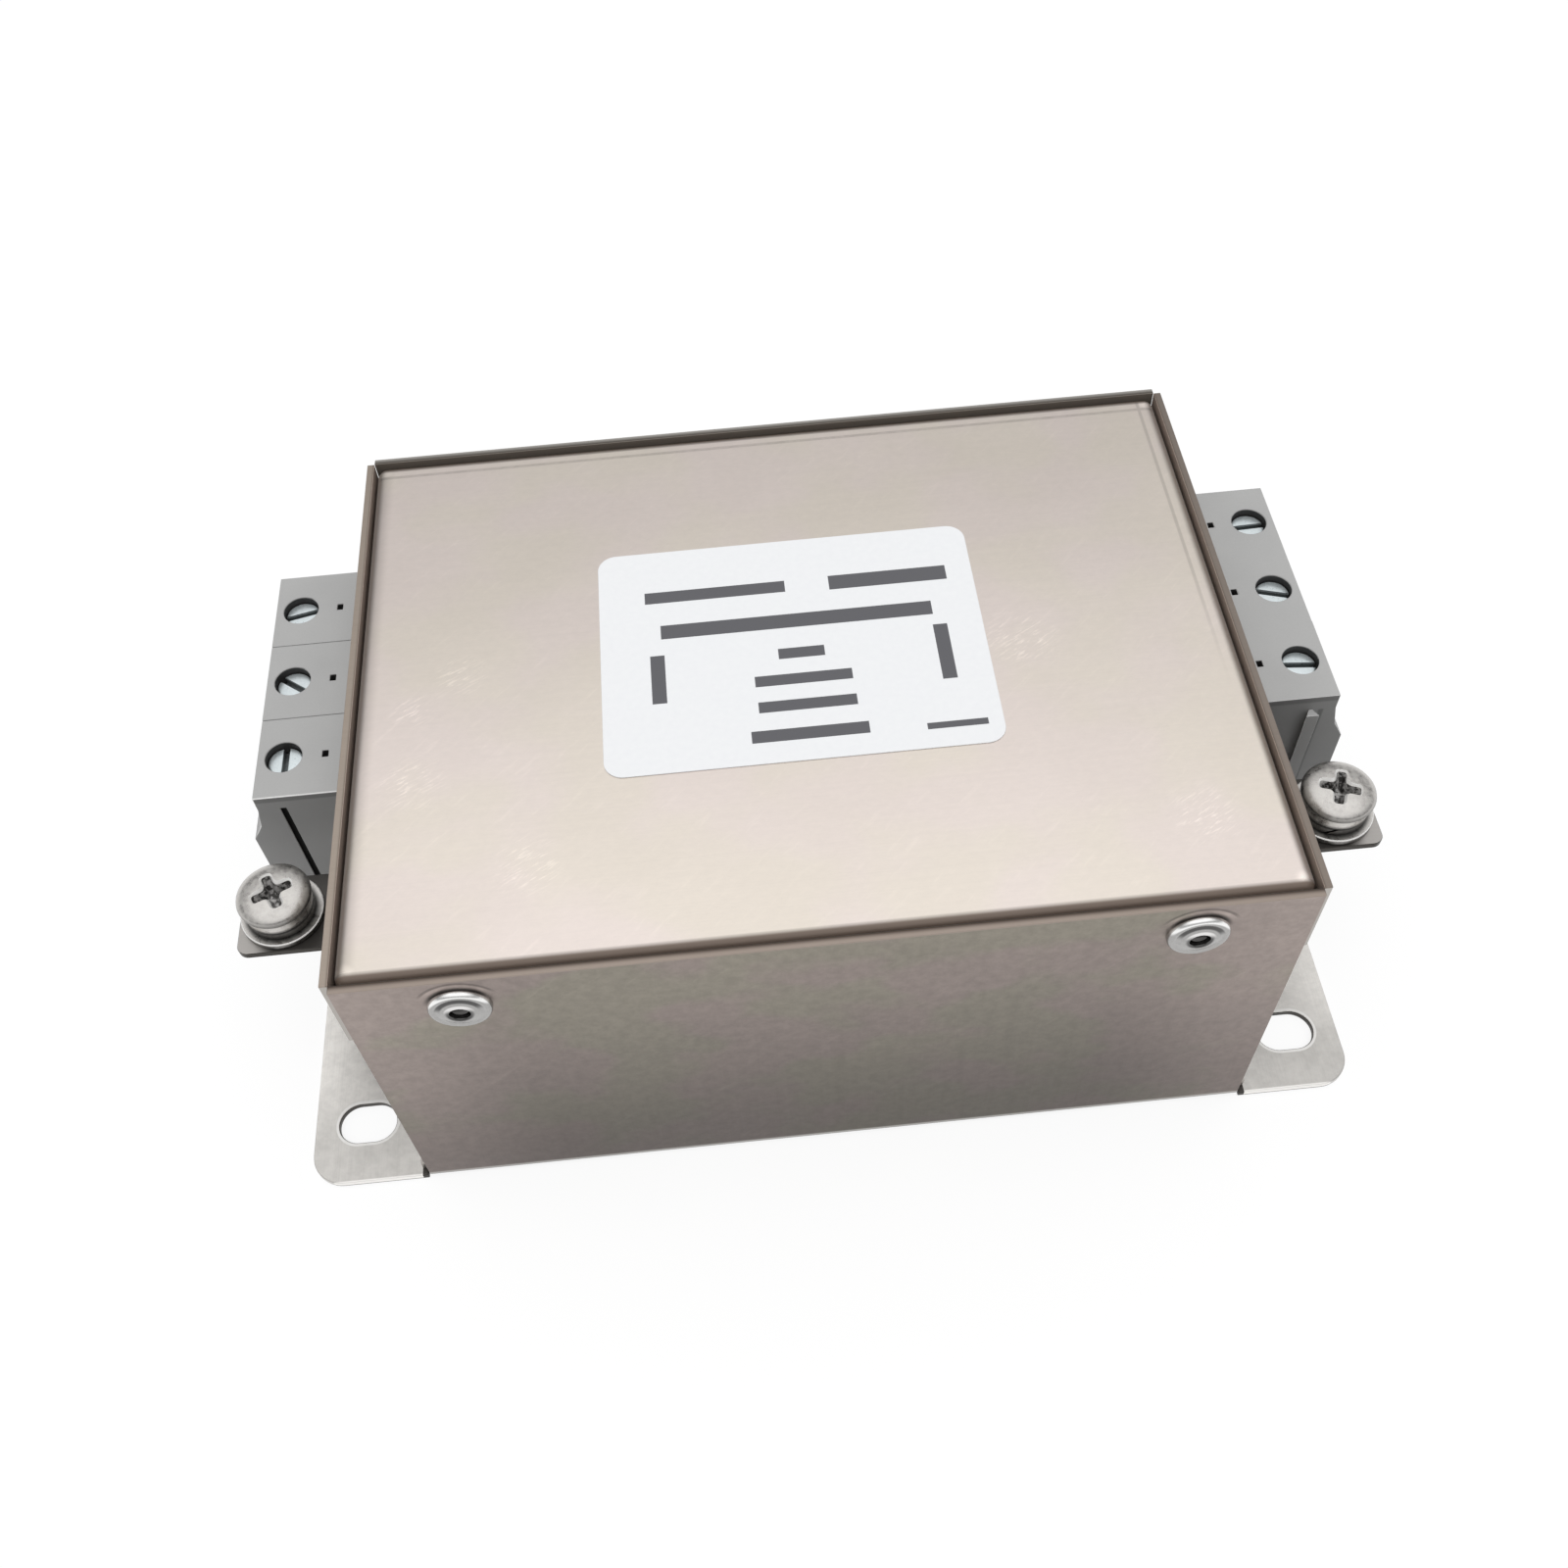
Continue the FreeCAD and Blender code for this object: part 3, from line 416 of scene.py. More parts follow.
# The scratches run one way and show only in a few rubbed spots, each with its place and reach.
rubbed_spots = [(-38.9, -12.2, 4.5), (-27.5, -23.2, 4.5), (-34.5, 1.1, 3.5),
                (23.5, -1.0, 5.0), (36.9, -24.7, 4.5), (-39.5, -3.0, 3.0)]
one_way = nodes.add("ShaderNodeCombineXYZ", values={0: (x + 0.6 * y) * 0.5,
                                                    1: (y - 0.6 * x) * 3.0, 2: 0.0})
scratches = nodes.ramp(nodes.noise(one_way, detail=4.0, rough=0.65), 0.50, 0.68)
rubbed = 0.0
for spot_x, spot_y, reach in rubbed_spots:
    from_spot = nodes.distance(x - spot_x, y - spot_y)
    rubbed = (1.0 - nodes.ramp(from_spot, 0.2 * reach, reach)) + rubbed
colour = nodes.shade(colour, 1.0 + 0.22 * rubbed * scratches)

# The press lines beside the bends, the shade at both ends and the glint at each corner.
press_line = nodes.line(y, lid_high.y - 2.1, 0.3) * (0.7 + 0.6 * nodes.ramp(mottle, 0.35, 0.65))
end_line = nodes.line(x, lid_high.x - 2.0, 0.25) * nodes.ramp(y, -12.0, 10.0)
colour = nodes.shade(colour, 1.0 - 0.20 * nodes.largest(press_line, end_line))
line_end = nodes.ramp(-1.0 * x, lid_high.x - 2.4, lid_high.x - 0.2)
load_end = nodes.ramp(x, lid_high.x - 1.4, lid_high.x - 0.1)
colour = nodes.shade(colour, 1.0 - 0.42 * line_end)
colour = nodes.shade(colour, 1.0 - 0.25 * load_end)
from_corner = nodes.distance(nodes.size(x) - (lid_high.x - 1.0),
                             nodes.size(y) - (lid_high.y - 1.1))
colour = nodes.shade(colour, 1.0 + 0.28 * (1.0 - nodes.ramp(from_corner, 0.3, 1.2)))

# The bends are painted darker and browner than the top, a painted shade, most of all along the
# two long sides, and so is what lies deep in the gap beside the walls.
turned = nodes.ramp(1.0 - facing_z, 0.06, 0.45)
to_side = nodes.size(facing_y)
long_bend = nodes.ramp(to_side, 0.08, 0.42)
colour = nodes.mix(0.9 * turned, colour, rgb(0.34, 0.31, 0.285))
colour = nodes.shade(colour, 1.0 - 0.30 * nodes.ramp(to_side, 0.01, 0.12))
colour = nodes.mix(long_bend, colour, rgb(0.165, 0.125, 0.10))
deep = 1.0 - nodes.ramp(z, lid_high.z - 2.0, lid_high.z - 0.6)
gap_shade_colour = nodes.mix(to_side > 0.5, rgb(0.13, 0.10, 0.085), rgb(0.115, 0.088, 0.072))
colour = nodes.mix(deep, colour, gap_shade_colour)
nodes.surface({
    "Base Color": colour,
    "Metallic": 1.0 - 0.7 * nodes.largest(turned, long_bend),
    "Roughness": 0.30 + 0.08 * grain + 0.10 * mottle,
    "Normal": nodes.bump(grain, 0.003 * mm, 0.5),
})
softened("lid", "lid_sheet", lid_material, "case_steel")


# The label is a white satin sticker with round corners. What is printed on the real one is
# left out, and plain grey bars stand in its place.
label_low, label_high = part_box("lid_label")
label_middle = (label_low + label_high) / 2 / mm
label_material, nodes = new_material("Label film")
place = nodes.place()
x, y = nodes.parts(place)[:2]

# The middle of each bar, counted from the label's middle, and its length and width.
bars = [
    (-7.6, 8.3, 15.0, 1.6), (10.9, 8.2, 12.6, 2.0), (0.7, 3.35, 28.6, 1.9), (0.8, -1.1, 4.8, 1.4),
    (0.7, -4.55, 10.0, 1.4), (0.8, -7.95, 10.0, 1.4), (0.7, -11.65, 11.8, 1.5),
    (-14.1, -3.0, 1.5, 6.4), (15.5, -2.75, 1.5, 7.4), (15.35, -12.3, 6.1, 0.8),
]
printed = 0.0
for bar_x, bar_y, length, width in bars:
    over_x = nodes.size(x - (label_middle.x + bar_x)) < length / 2
    over_y = nodes.size(y - (label_middle.y + bar_y)) < width / 2
    printed = over_x * over_y + printed
fibre = nodes.noise(place, 1.4, detail=3.0)
colour = nodes.mix(fibre, rgb(0.80, 0.81, 0.83), rgb(0.85, 0.86, 0.87))
colour = nodes.mix(printed, colour, rgb(0.10, 0.10, 0.11))
nodes.surface({
    "Base Color": colour,
    "Roughness": 0.42 + 0.12 * fibre,
    "Normal": nodes.bump(fibre, 0.004 * mm, 0.3),
})
softened("lid_label", "label_sticker", label_material, "label_film", edge=0.03 * mm)


# Four blind rivets hold the lid's side flanges to the walls. Each is a drawn aluminium head
# with a rolled lip round the hole, in which the grey stub of the broken mandrel sits.
def outline_object(name, points):
    """A row of points, radius and height, that a turned piece is made from."""
    mesh = bpy.data.meshes.new(name)
    mesh.from_pydata([(radius * mm, 0, height * mm) for radius, height in points], [], [])
    return bpy.data.objects.new(name, mesh)


def places_object(name, places):
    """Points with the turn of the copy that stands on each, as (place, turn) in mm and rad."""
    mesh = bpy.data.meshes.new(name)
    mesh.from_pydata([tuple(value * mm for value in place) for place, turn in places], [], [])
    turns = mesh.attributes.new("turn", "FLOAT_VECTOR", "POINT")
    for entry, (place, turn) in zip(turns.data, places):
        entry.vector = turn
    piece = bpy.data.objects.new(name, mesh)
    bpy.context.collection.objects.link(piece)
    return piece


def stacked_object(name, layers):
    """A solid through outlines, lowest first, each with its height. It is cut out of a piece."""
    count = len(layers[0][0])
    points = []
    faces = [tuple(range(count))[::-1]]
    for layer, (outline, height) in enumerate(layers):
        points += [(x * mm, y * mm, height * mm) for x, y in outline]
        for step in range(count if layer else 0):
            low = (layer - 1) * count
            after = (step + 1) % count
            faces.append((low + step, low + after, low + count + after, low + count + step))
    faces.append(tuple(range(len(points) - count, len(points))))
    mesh = bpy.data.meshes.new(name)
    mesh.from_pydata(points, [], faces)
    return bpy.data.objects.new(name, mesh)


def turned_tree(name, cut):
    """A tree that turns an outline about Z, cuts a shape out of it, and sets out copies."""
    tree = bpy.data.node_groups.new(name, "GeometryNodeTree")
    nodes = Nodes(tree)
    sockets = tree.interface
    sockets.new_socket("Places", in_out="INPUT", socket_type="NodeSocketGeometry")
    sockets.new_socket("Outline", in_out="INPUT", socket_type="NodeSocketObject")
    sockets.new_socket("Segments", in_out="INPUT", socket_type="NodeSocketInt")
    sockets.new_socket("Cutter", in_out="INPUT", socket_type="NodeSocketObject")
    sockets.new_socket("Finish", in_out="INPUT", socket_type="NodeSocketMaterial")
    sockets.new_socket("Pieces", in_out="OUTPUT", socket_type="NodeSocketGeometry")
    given = nodes.add("NodeGroupInput", output="Places")
    outline = nodes.add("GeometryNodeObjectInfo", values={"Object": given.beside("Outline")},
                        output="Geometry")
    count = nodes.add("GeometryNodeAttributeDomainSize", {"component": "MESH"},
                      {"Geometry": outline}, output="Point Count")
    columns = given.beside("Segments") + 1.0
    grid = nodes.add("GeometryNodeMeshGrid", values={"Vertices X": columns, "Vertices Y": count})
    index = nodes.add("GeometryNodeInputIndex")
    column = nodes.add("ShaderNodeMath", {"operation": "FLOOR"}, {0: (index + 0.5) / count})
    row = index - column * count
    spot = nodes.add("GeometryNodeInputPosition")
    point = nodes.add("GeometryNodeSampleIndex", {"data_type": "FLOAT_VECTOR"},
                      {"Geometry": outline, "Value": spot, "Index": row})
    angle = column / given.beside("Segments") * math.tau
    point = nodes.add("ShaderNodeVectorRotate", {"rotation_type": "Z_AXIS"},
                      {"Vector": point, "Angle": angle})
    piece = nodes.add("GeometryNodeSetPosition", values={"Geometry": grid, "Position": point})
    piece = nodes.add("GeometryNodeMergeByDistance",
                      values={"Geometry": piece, "Distance": 0.001 * mm})
    if cut:
        cutter = nodes.add("GeometryNodeObjectInfo", values={"Object": given.beside("Cutter")},
                           output="Geometry")
        piece = nodes.add("GeometryNodeMeshBoolean", {"operation": "DIFFERENCE",
                                                      "solver": "EXACT"},
                          {"Mesh 1": piece, "Mesh 2": cutter})
    turn = nodes.add("GeometryNodeInputNamedAttribute", {"data_type": "FLOAT_VECTOR"},
                     {"Name": "turn"})
    pieces = nodes.add("GeometryNodeInstanceOnPoints",
                       values={"Points": given, "Instance": piece, "Rotation": turn})
    pieces = nodes.add("GeometryNodeRealizeInstances", values={"Geometry": pieces})
    pieces = nodes.add("GeometryNodeSetMaterial", values={"Geometry": pieces,
                                                          "Material": given.beside("Finish")})
    nodes.add("NodeGroupOutput", values={"Pieces": pieces})
    return tree


def made_by(piece, tree, inputs):
    """Runs a geometry tree on a piece and keeps the result as its plain mesh."""
    modifier = piece.modifiers.new(tree.name, "NODES")
    modifier.node_group = tree
    for item in tree.interface.items_tree:
        if item.in_out == "INPUT" and item.name in inputs:
            modifier[item.identifier] = inputs[item.name]
    mesh = plain_mesh(piece)
    shape = bmesh.new()
    shape.from_mesh(mesh)
    bmesh.ops.remove_doubles(shape, verts=shape.verts, dist=0.001 * mm)
    bmesh.ops.recalc_face_normals(shape, faces=shape.faces)
    shape.to_mesh(mesh)
    shape.free()
    return mesh


def arc(middle, radius, start, end, steps):
    """Points of an outline along part of a circle, from one angle to another in degrees."""
    points = []
    for step in range(steps + 1):
        angle = math.radians(start + (end - start) * step / steps)
        points.append((middle[0] + radius * math.cos(angle),
                       middle[1] + radius * math.sin(angle)))
    return points


rivet_head_height = 1.0
wall_y = rivet_high.y - rivet_head_height
rivet_material, nodes = new_material("Rivet aluminium")
place = nodes.place()
x, y, z = nodes.parts(place)
facing_z = nodes.facing()[2]
marks = nodes.noise(place, 2.5, detail=4.0, rough=0.6)
from_axis = nodes.distance(nodes.size(x) - rivet_x, z - rivet_z)
over_axis = nodes.ramp(z, rivet_z + 0.2, rivet_z + 1.2)
colour = nodes.mix(marks, rgb(0.34, 0.335, 0.33), rgb(0.46, 0.455, 0.445))
# The rim and the upper side of the lip are painted bright, painted highlights; the groove over
# the hole and the lower side of the lip are painted shade.
rim = nodes.ramp(from_axis, 2.3, 2.6) * nodes.ramp(facing_z, 0.18, 0.40)
colour = nodes.mix(rim, colour, rgb(0.93, 0.93, 0.92))
groove = over_axis * nodes.line(from_axis, 2.1, 0.35)
colour = nodes.shade(colour, 1.0 - 0.75 * groove)
lip = over_axis * nodes.line(from_axis, 1.3, 0.3)
colour = nodes.mix(lip, colour, rgb(0.80, 0.79, 0.78))
under_lip_shade = (1.0 - nodes.ramp(from_axis, 1.1, 1.45)) * (1.0 - over_axis)
colour = nodes.shade(colour, 1.0 - 0.75 * under_lip_shade)
nodes.surface({
    "Base Color": colour,
    "Metallic": 1.0,
    "Roughness": 0.20 + 0.10 * marks,
    "Normal": nodes.bump(marks, 0.006 * mm, 0.3),
})
rivet_places = []
for side in (-1, 1):
    for end in (-1, 1):
        turn = (-math.pi / 2 * side, 0, 0)
        rivet_places.append(((end * rivet_x, side * wall_y, rivet_z), turn))

# A rivet from its bore outwards and down: radius, and height above the wall's face. The lip
# and the head's rim are rounded, and the bulb holds from behind.
bore, shank, bulb, tail_end = 0.95, 1.6, 2.3, -5.4
rivet_outline = [(bore, tail_end), (bore, 0.78)]
rivet_outline += arc((bore + 0.2, 0.78), 0.2, 180, 60, 4)
rivet_outline += [(1.5, 0.90), (1.9, 0.78), (2.12, 0.70), (2.24, 0.68)]
rivet_outline += arc((2.52, 0.28), 0.46, 116, 20, 6)
rivet_outline += [(rivet_radius, 0.22), (rivet_radius, 0.12), (rivet_radius - 0.04, 0.0),
                  (shank, 0.0), (shank, -1.8), (bulb, -3.0), (shank, -4.2), (shank, tail_end),
                  (bore, tail_end)]
plain_turned = turned_tree("Turned pieces", cut=False)
rivets = places_object("rivet_heads", rivet_places)
outline = outline_object("rivet outline", rivet_outline)
mesh = made_by(rivets, plain_turned, {"Outline": outline, "Segments": 64,
                                      "Finish": rivet_material})
smoothed(mesh, 40)
joined_to_root(rivets, "rivet_aluminium", "lid_rivets")

mandrel_material, nodes = new_material("Mandrel steel")
place = nodes.place()
z = nodes.parts(place)[2]
marks = nodes.noise(place, 5.0, detail=3.0)
colour = nodes.mix(marks, rgb(0.10, 0.097, 0.093), rgb(0.20, 0.195, 0.19))
in_shade = nodes.ramp(z, rivet_z - 0.4, rivet_z)
colour = nodes.mix(in_shade, colour, rgb(0.010, 0.009, 0.008))
nodes.surface({
    "Base Color": colour,
    "Metallic": 0.4,
    "Roughness": 0.45 + 0.2 * marks,
    "Normal": nodes.bump(marks, 0.05 * mm, 0.4),
})

# The mandrel's knob is under the rivet's tail, and its broken end is a little hollow.
stub, knob, knob_end = 0.9, 1.4, -6.7
mandrel_outline = [(0.0, knob_end), (knob, knob_end), (knob, tail_end), (stub, tail_end),
                   (stub, 0.36), (0.78, 0.5), (0.5, 0.42), (0.0, 0.47)]
mandrels = places_object("rivet_stubs", rivet_places)
outline = outline_object("mandrel outline", mandrel_outline)
mesh = made_by(mandrels, plain_turned, {"Outline": outline, "Segments": 32,
                                        "Finish": mandrel_material})
smoothed(mesh, 40)
joined_to_root(mandrels, "mandrel_steel", "rivet_mandrels")


# The lid is drawn round at its four corners, of one sheet with its folds. Each corner is a
# turned button with a domed top that fills the notch between two folds, and only its outer
# quarter shows.
corner_radius, corner_depth = 1.2, 3.0
corner_x, corner_y = lid_high.x - corner_radius, lid_high.y - corner_radius
corner_outline = [(0.0, lid_high.z - corner_depth), (corner_radius, lid_high.z - corner_depth)]
corner_outline += arc((0.0, lid_high.z - corner_radius), corner_radius, 0, 90, 8)
corners = places_object("lid_corners", [((end * corner_x, side * corner_y, 0.0), (0, 0, 0))
                                        for end in (-1, 1) for side in (-1, 1)])
outline = outline_object("corner outline", corner_outline)
mesh = made_by(corners, plain_turned, {"Outline": outline, "Segments": 48,
                                       "Finish": lid_material})
smoothed(mesh, 60)
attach(corners, "root")


# Each terminal block is three one-pole modules of grey plastic, joined by a rib and a groove.
# The moulding is finely matt, a little lighter where it has been rubbed.
block_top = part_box("load_terminal_1")[1].z / mm
block_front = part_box("line_terminal_1")[0].y / mm
block_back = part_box("load_terminal_3")[1].y / mm
wells_out = 59.0
rib_x, rib_half = 56.70, 0.7
terminal_material, nodes = new_material("Terminal plastic")
place = nodes.place()
x, y, z = nodes.parts(place)
facing_y, facing_z = nodes.facing()[1:]
load_side = x > 0.0
skin = nodes.noise(place, 4.0, detail=3.0)
clouds = nodes.noise(place, 0.14, detail=2.0)
colour = nodes.mix(clouds, rgb(0.385, 0.385, 0.383), rgb(0.445, 0.445, 0.44))

# The front of each block is painted in shade, deeper near the top at the line end and towards the
# case at the load end, where the rib is painted lighter, with a painted shadow line beside it.
front = (facing_y < -0.7) * nodes.ramp(z, 2.0, 12.0)
line_shade = 0.12 + 0.24 * nodes.ramp(z, block_top - 13.0, block_top)
load_shade = 0.76 - 0.34 * nodes.ramp(x, 47.0, 61.0)
front_shade = line_shade + load_side * (load_shade - line_shade)
colour = nodes.shade(colour, 1.0 - front * front_shade)
on_rib = (y < block_front - 0.5) * (nodes.size(x - rib_x) < rib_half + 0.05) * load_side
colour = nodes.shade(colour, 1.0 + 0.20 * on_rib * front)
rib_shadow_line = nodes.line(x, rib_x + rib_half + 0.45, 0.4) * (z < block_top - 2.2) * load_side
colour = nodes.shade(colour, 1.0 - 0.45 * rib_shadow_line * front)
# Just under the top edge lies a painted shade line, and the top front edge has a painted
# highlight.
under_edge_shade = nodes.line(z, block_top - 0.5, 0.5)
colour = nodes.shade(colour, 1.0 - 0.35 * front * under_edge_shade)
top_edge_highlight = (facing_y < -0.12) * (facing_z > 0.12) * (y < block_front + 0.2)
colour = nodes.mix(top_edge_highlight, colour, rgb(0.85, 0.85, 0.84))

# The wells and holes are painted dark inside, a painted shade.
deep = (z < block_top - 0.15) * (y > block_front + 0.12) * (y < block_back - 0.12)
deep = deep * (nodes.size(x) < wells_out)
colour = nodes.mix(deep, colour, rgb(0.028, 0.027, 0.027))
colour = nodes.shade(colour, 0.95 + 0.1 * skin)
nodes.surface({
    "Base Color": colour,
    "Roughness": 0.50 + 0.16 * skin,
    "Normal": nodes.bump(skin, 0.02 * mm, 0.25),
})

# The load modules touch, so the edges where they meet stay sharp.
load_joints = (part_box("load_terminal_1")[1].y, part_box("load_terminal_2")[1].y)
for end, joints in (("line", ()), ("load", load_joints)):
    for number in (1, 2, 3):
        softened(f"{end}_terminal_{number}", f"{end}_module_{number}", terminal_material,
                 "terminal_plastic", sharp_at=joints)


# Under each round well of a terminal block sits a slotted clamp screw, zinc plated and faintly
# blue, turned just as the last driver left it.
screw_low, screw_high = (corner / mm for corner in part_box("clamp_screws"))
screw_top, screw_foot = screw_high.z, screw_low.z
head_radius, shank_radius, head_height = 1.95, 1.75, 2.4
slot_reach_out, slot_half, slot_depth = 3.0, 0.375, 1.0
pole_pitch = 10.9
zinc_material, nodes = new_material("Blue zinc")
place = nodes.place()
z = nodes.parts(place)[2]
marks = nodes.noise(place, 3.0, detail=4.0, rough=0.6)
colour = nodes.mix(marks, rgb(0.58, 0.65, 0.68), rgb(0.86, 0.92, 0.93))
# Down in the slot the colour is painted dark, a painted shade.
in_slot_shade = (z < screw_top - 0.3) * (z > screw_top - 1.5)
colour = nodes.shade(colour, 1.0 - 0.72 * in_slot_shade)
nodes.surface({
    "Base Color": colour,
    "Metallic": 0.7,
    "Roughness": 0.22 + 0.16 * marks,
    "Normal": nodes.bump(marks, 0.02 * mm, 0.3),
})
screw_x = screw_high.x - head_radius
screw_places = []
for end, turns in ((-1, (90.0, -38.0, 13.0)), (1, (-6.0, -18.0, 2.0))):
    for pole, turn in enumerate(turns):
        screw_y = screw_low.y + head_radius + pole_pitch * pole
        screw_places.append(((end * screw_x, screw_y, 0), (0, 0, math.radians(turn))))

# A clamp screw from its foot up to the rounded edge of its head, and the slot to cut out.
head_foot = screw_top - head_height
screw_outline = [(0.0, screw_foot), (shank_radius - 0.2, screw_foot),
                 (shank_radius, screw_foot + 0.2), (shank_radius, head_foot),
                 (head_radius, head_foot), (head_radius, screw_top - 0.22)]
screw_outline += arc((head_radius - 0.22, screw_top - 0.22), 0.22, 20, 90, 3)
screw_outline += [(0.0, screw_top)]
cut_turned = turned_tree("Turned pieces with a cut", cut=True)
slot_outline = [(-slot_reach_out, -slot_half), (slot_reach_out, -slot_half),
                (slot_reach_out, slot_half), (-slot_reach_out, slot_half)]
slot = stacked_object("slot", [(slot_outline, screw_top - slot_depth),
                               (slot_outline, screw_top + slot_depth)])
clamp_screws = places_object("slotted_screws", screw_places)
outline = outline_object("screw outline", screw_outline)
mesh = made_by(clamp_screws, cut_turned, {"Outline": outline, "Segments": 64, "Cutter": slot,
                                          "Finish": zinc_material})
smoothed(mesh, 30)
joined_to_root(clamp_screws, "screw_zinc", "clamp_screws")


# On each earth tab a pan-headed screw with a cross recess holds a split washer and a flat
# washer, over a nut pressed in from below. All are tumbled and nickel plated.
earth_low, earth_high = (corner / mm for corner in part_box("earth_screws"))
earth_head_radius = 4.0
earth_x = earth_high.x - earth_head_radius
earth_y = (earth_low.y + earth_high.y) / 2
head_top, shank_foot = earth_high.z, earth_low.z
head_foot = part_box("spring_washers")[1].z / mm
washer_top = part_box("flat_washers")[1].z / mm
nickel_material, nodes = new_material("Tumbled nickel")
place = nodes.place()
x, y, z = nodes.parts(place)
facing_z = nodes.facing()[2]
marks = nodes.ramp(nodes.noise(place, 1.6, detail=4.0, rough=0.6), 0.3, 0.7)
fine = nodes.noise(place, 7.0, detail=2.0)
from_axis = nodes.distance(nodes.size(x) - earth_x, y - earth_y)
colour = nodes.mix(marks, rgb(0.52, 0.50, 0.48), rgb(0.68, 0.66, 0.63))

# Sides are painted darker than tops, a painted shade, but for a band round the head painted
# bright, a painted highlight. Under the head, between the washers and on the flat washer lies
# painted shade.
band = nodes.line(z, head_foot + 0.85, 0.6) * (from_axis < 3.8)
lit = nodes.largest(nodes.ramp(facing_z, 0.1, 0.95), band)
colour = nodes.shade(colour, 0.40 + 0.65 * lit)
under_head = nodes.largest(nodes.line(z, head_foot + 1.5, 0.26), nodes.line(z, head_foot, 0.24))
on_washer = 1.0 - nodes.ramp(z, washer_top, washer_top + 0.3)
on_washer = on_washer * (1.0 - nodes.ramp(from_axis, 3.7, 4.3))
ring = (z < head_foot) * (z > washer_top + 0.05)
dark = nodes.largest(nodes.largest(0.85 * under_head, 0.8 * on_washer), 0.5 * ring)
colour = nodes.shade(colour, 1.0 - dark)

# The recess is painted dark as shade, with brighter spots, and its mouth and the washer's rim
# have painted highlights.
recess = (from_axis < 2.7) * (z < head_top - 0.41)
recess_spots = nodes.ramp(nodes.noise(place, 1.3, detail=3.0, rough=0.7), 0.42, 0.58)
recess_colour = nodes.mix(recess_spots, rgb(0.03, 0.028, 0.026), rgb(0.42, 0.41, 0.40))
colour = nodes.mix(recess, colour, recess_colour)
recess_rim = (from_axis < 2.9) * (facing_z < 0.85) * (z > head_top - 0.42)
washer_rim = (from_axis > 4.3) * (facing_z > 0.25) * (facing_z < 0.97)
rim = nodes.largest(recess_rim, washer_rim)
colour = nodes.mix(rim, colour, rgb(0.90, 0.89, 0.87))
nodes.surface({
    "Base Color": colour,
    "Metallic": 1.0 - nodes.largest(0.55 * recess, 0.8 * rim),
    "Roughness": 0.24 + 0.2 * marks,
    "Normal": nodes.bump(fine, 0.02 * mm, 0.3),
})


def cross_outline(grown):
    """The cross of the recess with round corners, grown by a margin all round."""
    reach, half_width, fillet = 2.2 + grown, 0.52 + grown, 0.6 - grown
    corner = 0.6 * half_width
    quarter = arc((reach - corner, corner - half_width), corner, -90, 0, 3)
    quarter += arc((reach - corner, half_width - corner), corner, 0, 90, 3)
    quarter += arc((half_width + fillet,) * 2, fillet, 270, 180, 3)
    points = []
    for turn in (0, 90, 180, 270):
        wide, up = math.cos(math.radians(turn)), math.sin(math.radians(turn))
        points += [(wide * x - up * y, up * x + wide * y) for x, y in quarter]
    return points


# The recess narrows towards its foot and opens into a bevel at the head's crown.
mouth = cross_outline(0.0)
recess_shape = stacked_object("cross recess", [
    ([(0.5 * x, 0.5 * y) for x, y in mouth], head_top - 1.8),
    (mouth, head_top - 0.4),
    (cross_outline(0.45), head_top + 0.2),
])

# An earth screw from its foot up: the shank, the narrower lower band of the head, its rounded
# side and its low crown.
earth_shank = 1.95
earth_outline = [(0.0, shank_foot), (earth_shank - 0.25, shank_foot),
                 (earth_shank, shank_foot + 0.3), (earth_shank, head_foot),
                 (3.7, head_foot), (3.7, head_foot + 1.45),
                 (3.86, head_foot + 1.5), (3.97, head_foot + 1.7),
                 (earth_head_radius, head_foot + 1.95),
                 (3.93, head_top - 0.92), (3.72, head_top - 0.70), (3.3, head_top - 0.46),
                 (2.8, head_top - 0.28), (2.0, head_top - 0.12), (1.0, head_top - 0.03),
                 (0.0, head_top)]
line_turn, load_turn = math.radians(24), math.radians(69)
earth_places = [((-earth_x, earth_y, 0), (0, 0, line_turn)),
                ((earth_x, earth_y, 0), (0, 0, load_turn))]
earth_screws = places_object("cross_screws", earth_places)
outline = outline_object("earth screw outline", earth_outline)
mesh = made_by(earth_screws, cut_turned, {"Outline": outline, "Segments": 96,
                                          "Cutter": recess_shape, "Finish": nickel_material})
smoothed(mesh, 32)
joined_to_root(earth_screws, "earth_nickel", "earth_screws")
for node, name, edge in (("spring_washers", "split_washers", 0.1 * mm),
                         ("flat_washers", "plain_washers", 0.12 * mm),
                         ("earth_nuts", "pressed_nuts", 0.15 * mm)):
    softened(node, name, nickel_material, "earth_nickel", edge=edge)


# Inside, hidden by the case: the clamp cages and contact bars of the terminals, a green board
# on four posts over a dark film, the three-phase choke, its capacitors and resistors.
def inner_finish(name, dark, pale, pieces, cells, metal=0.0, rough=0.25, relief=0.02):
    """A mottled finish for pieces that the case hides, with so many cells to a millimetre."""
    material, nodes = new_material(name)
    marks = nodes.noise(nodes.place(), cells, detail=3.0)
    nodes.surface({
        "Base Color": nodes.mix(marks, rgb(*dark), rgb(*pale)),
        "Metallic": metal,
        "Roughness": rough + 0.15 * marks,
        "Normal": nodes.bump(marks, relief * mm, 0.4),
    })
    for node in pieces:
        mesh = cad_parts[node].data
        mesh.materials.clear()
        mesh.materials.append(material)


def at_both_ends(piece):
    """The names of the three pieces of a kind at the line end and of those at the load end."""
    return [f"{end}_{piece}_{number}" for end in ("line", "load") for number in (1, 2, 3)]


def one_to_three(piece):
    """The names of the three pieces of a kind."""
    return [f"{piece}_{number}" for number in (1, 2, 3)]


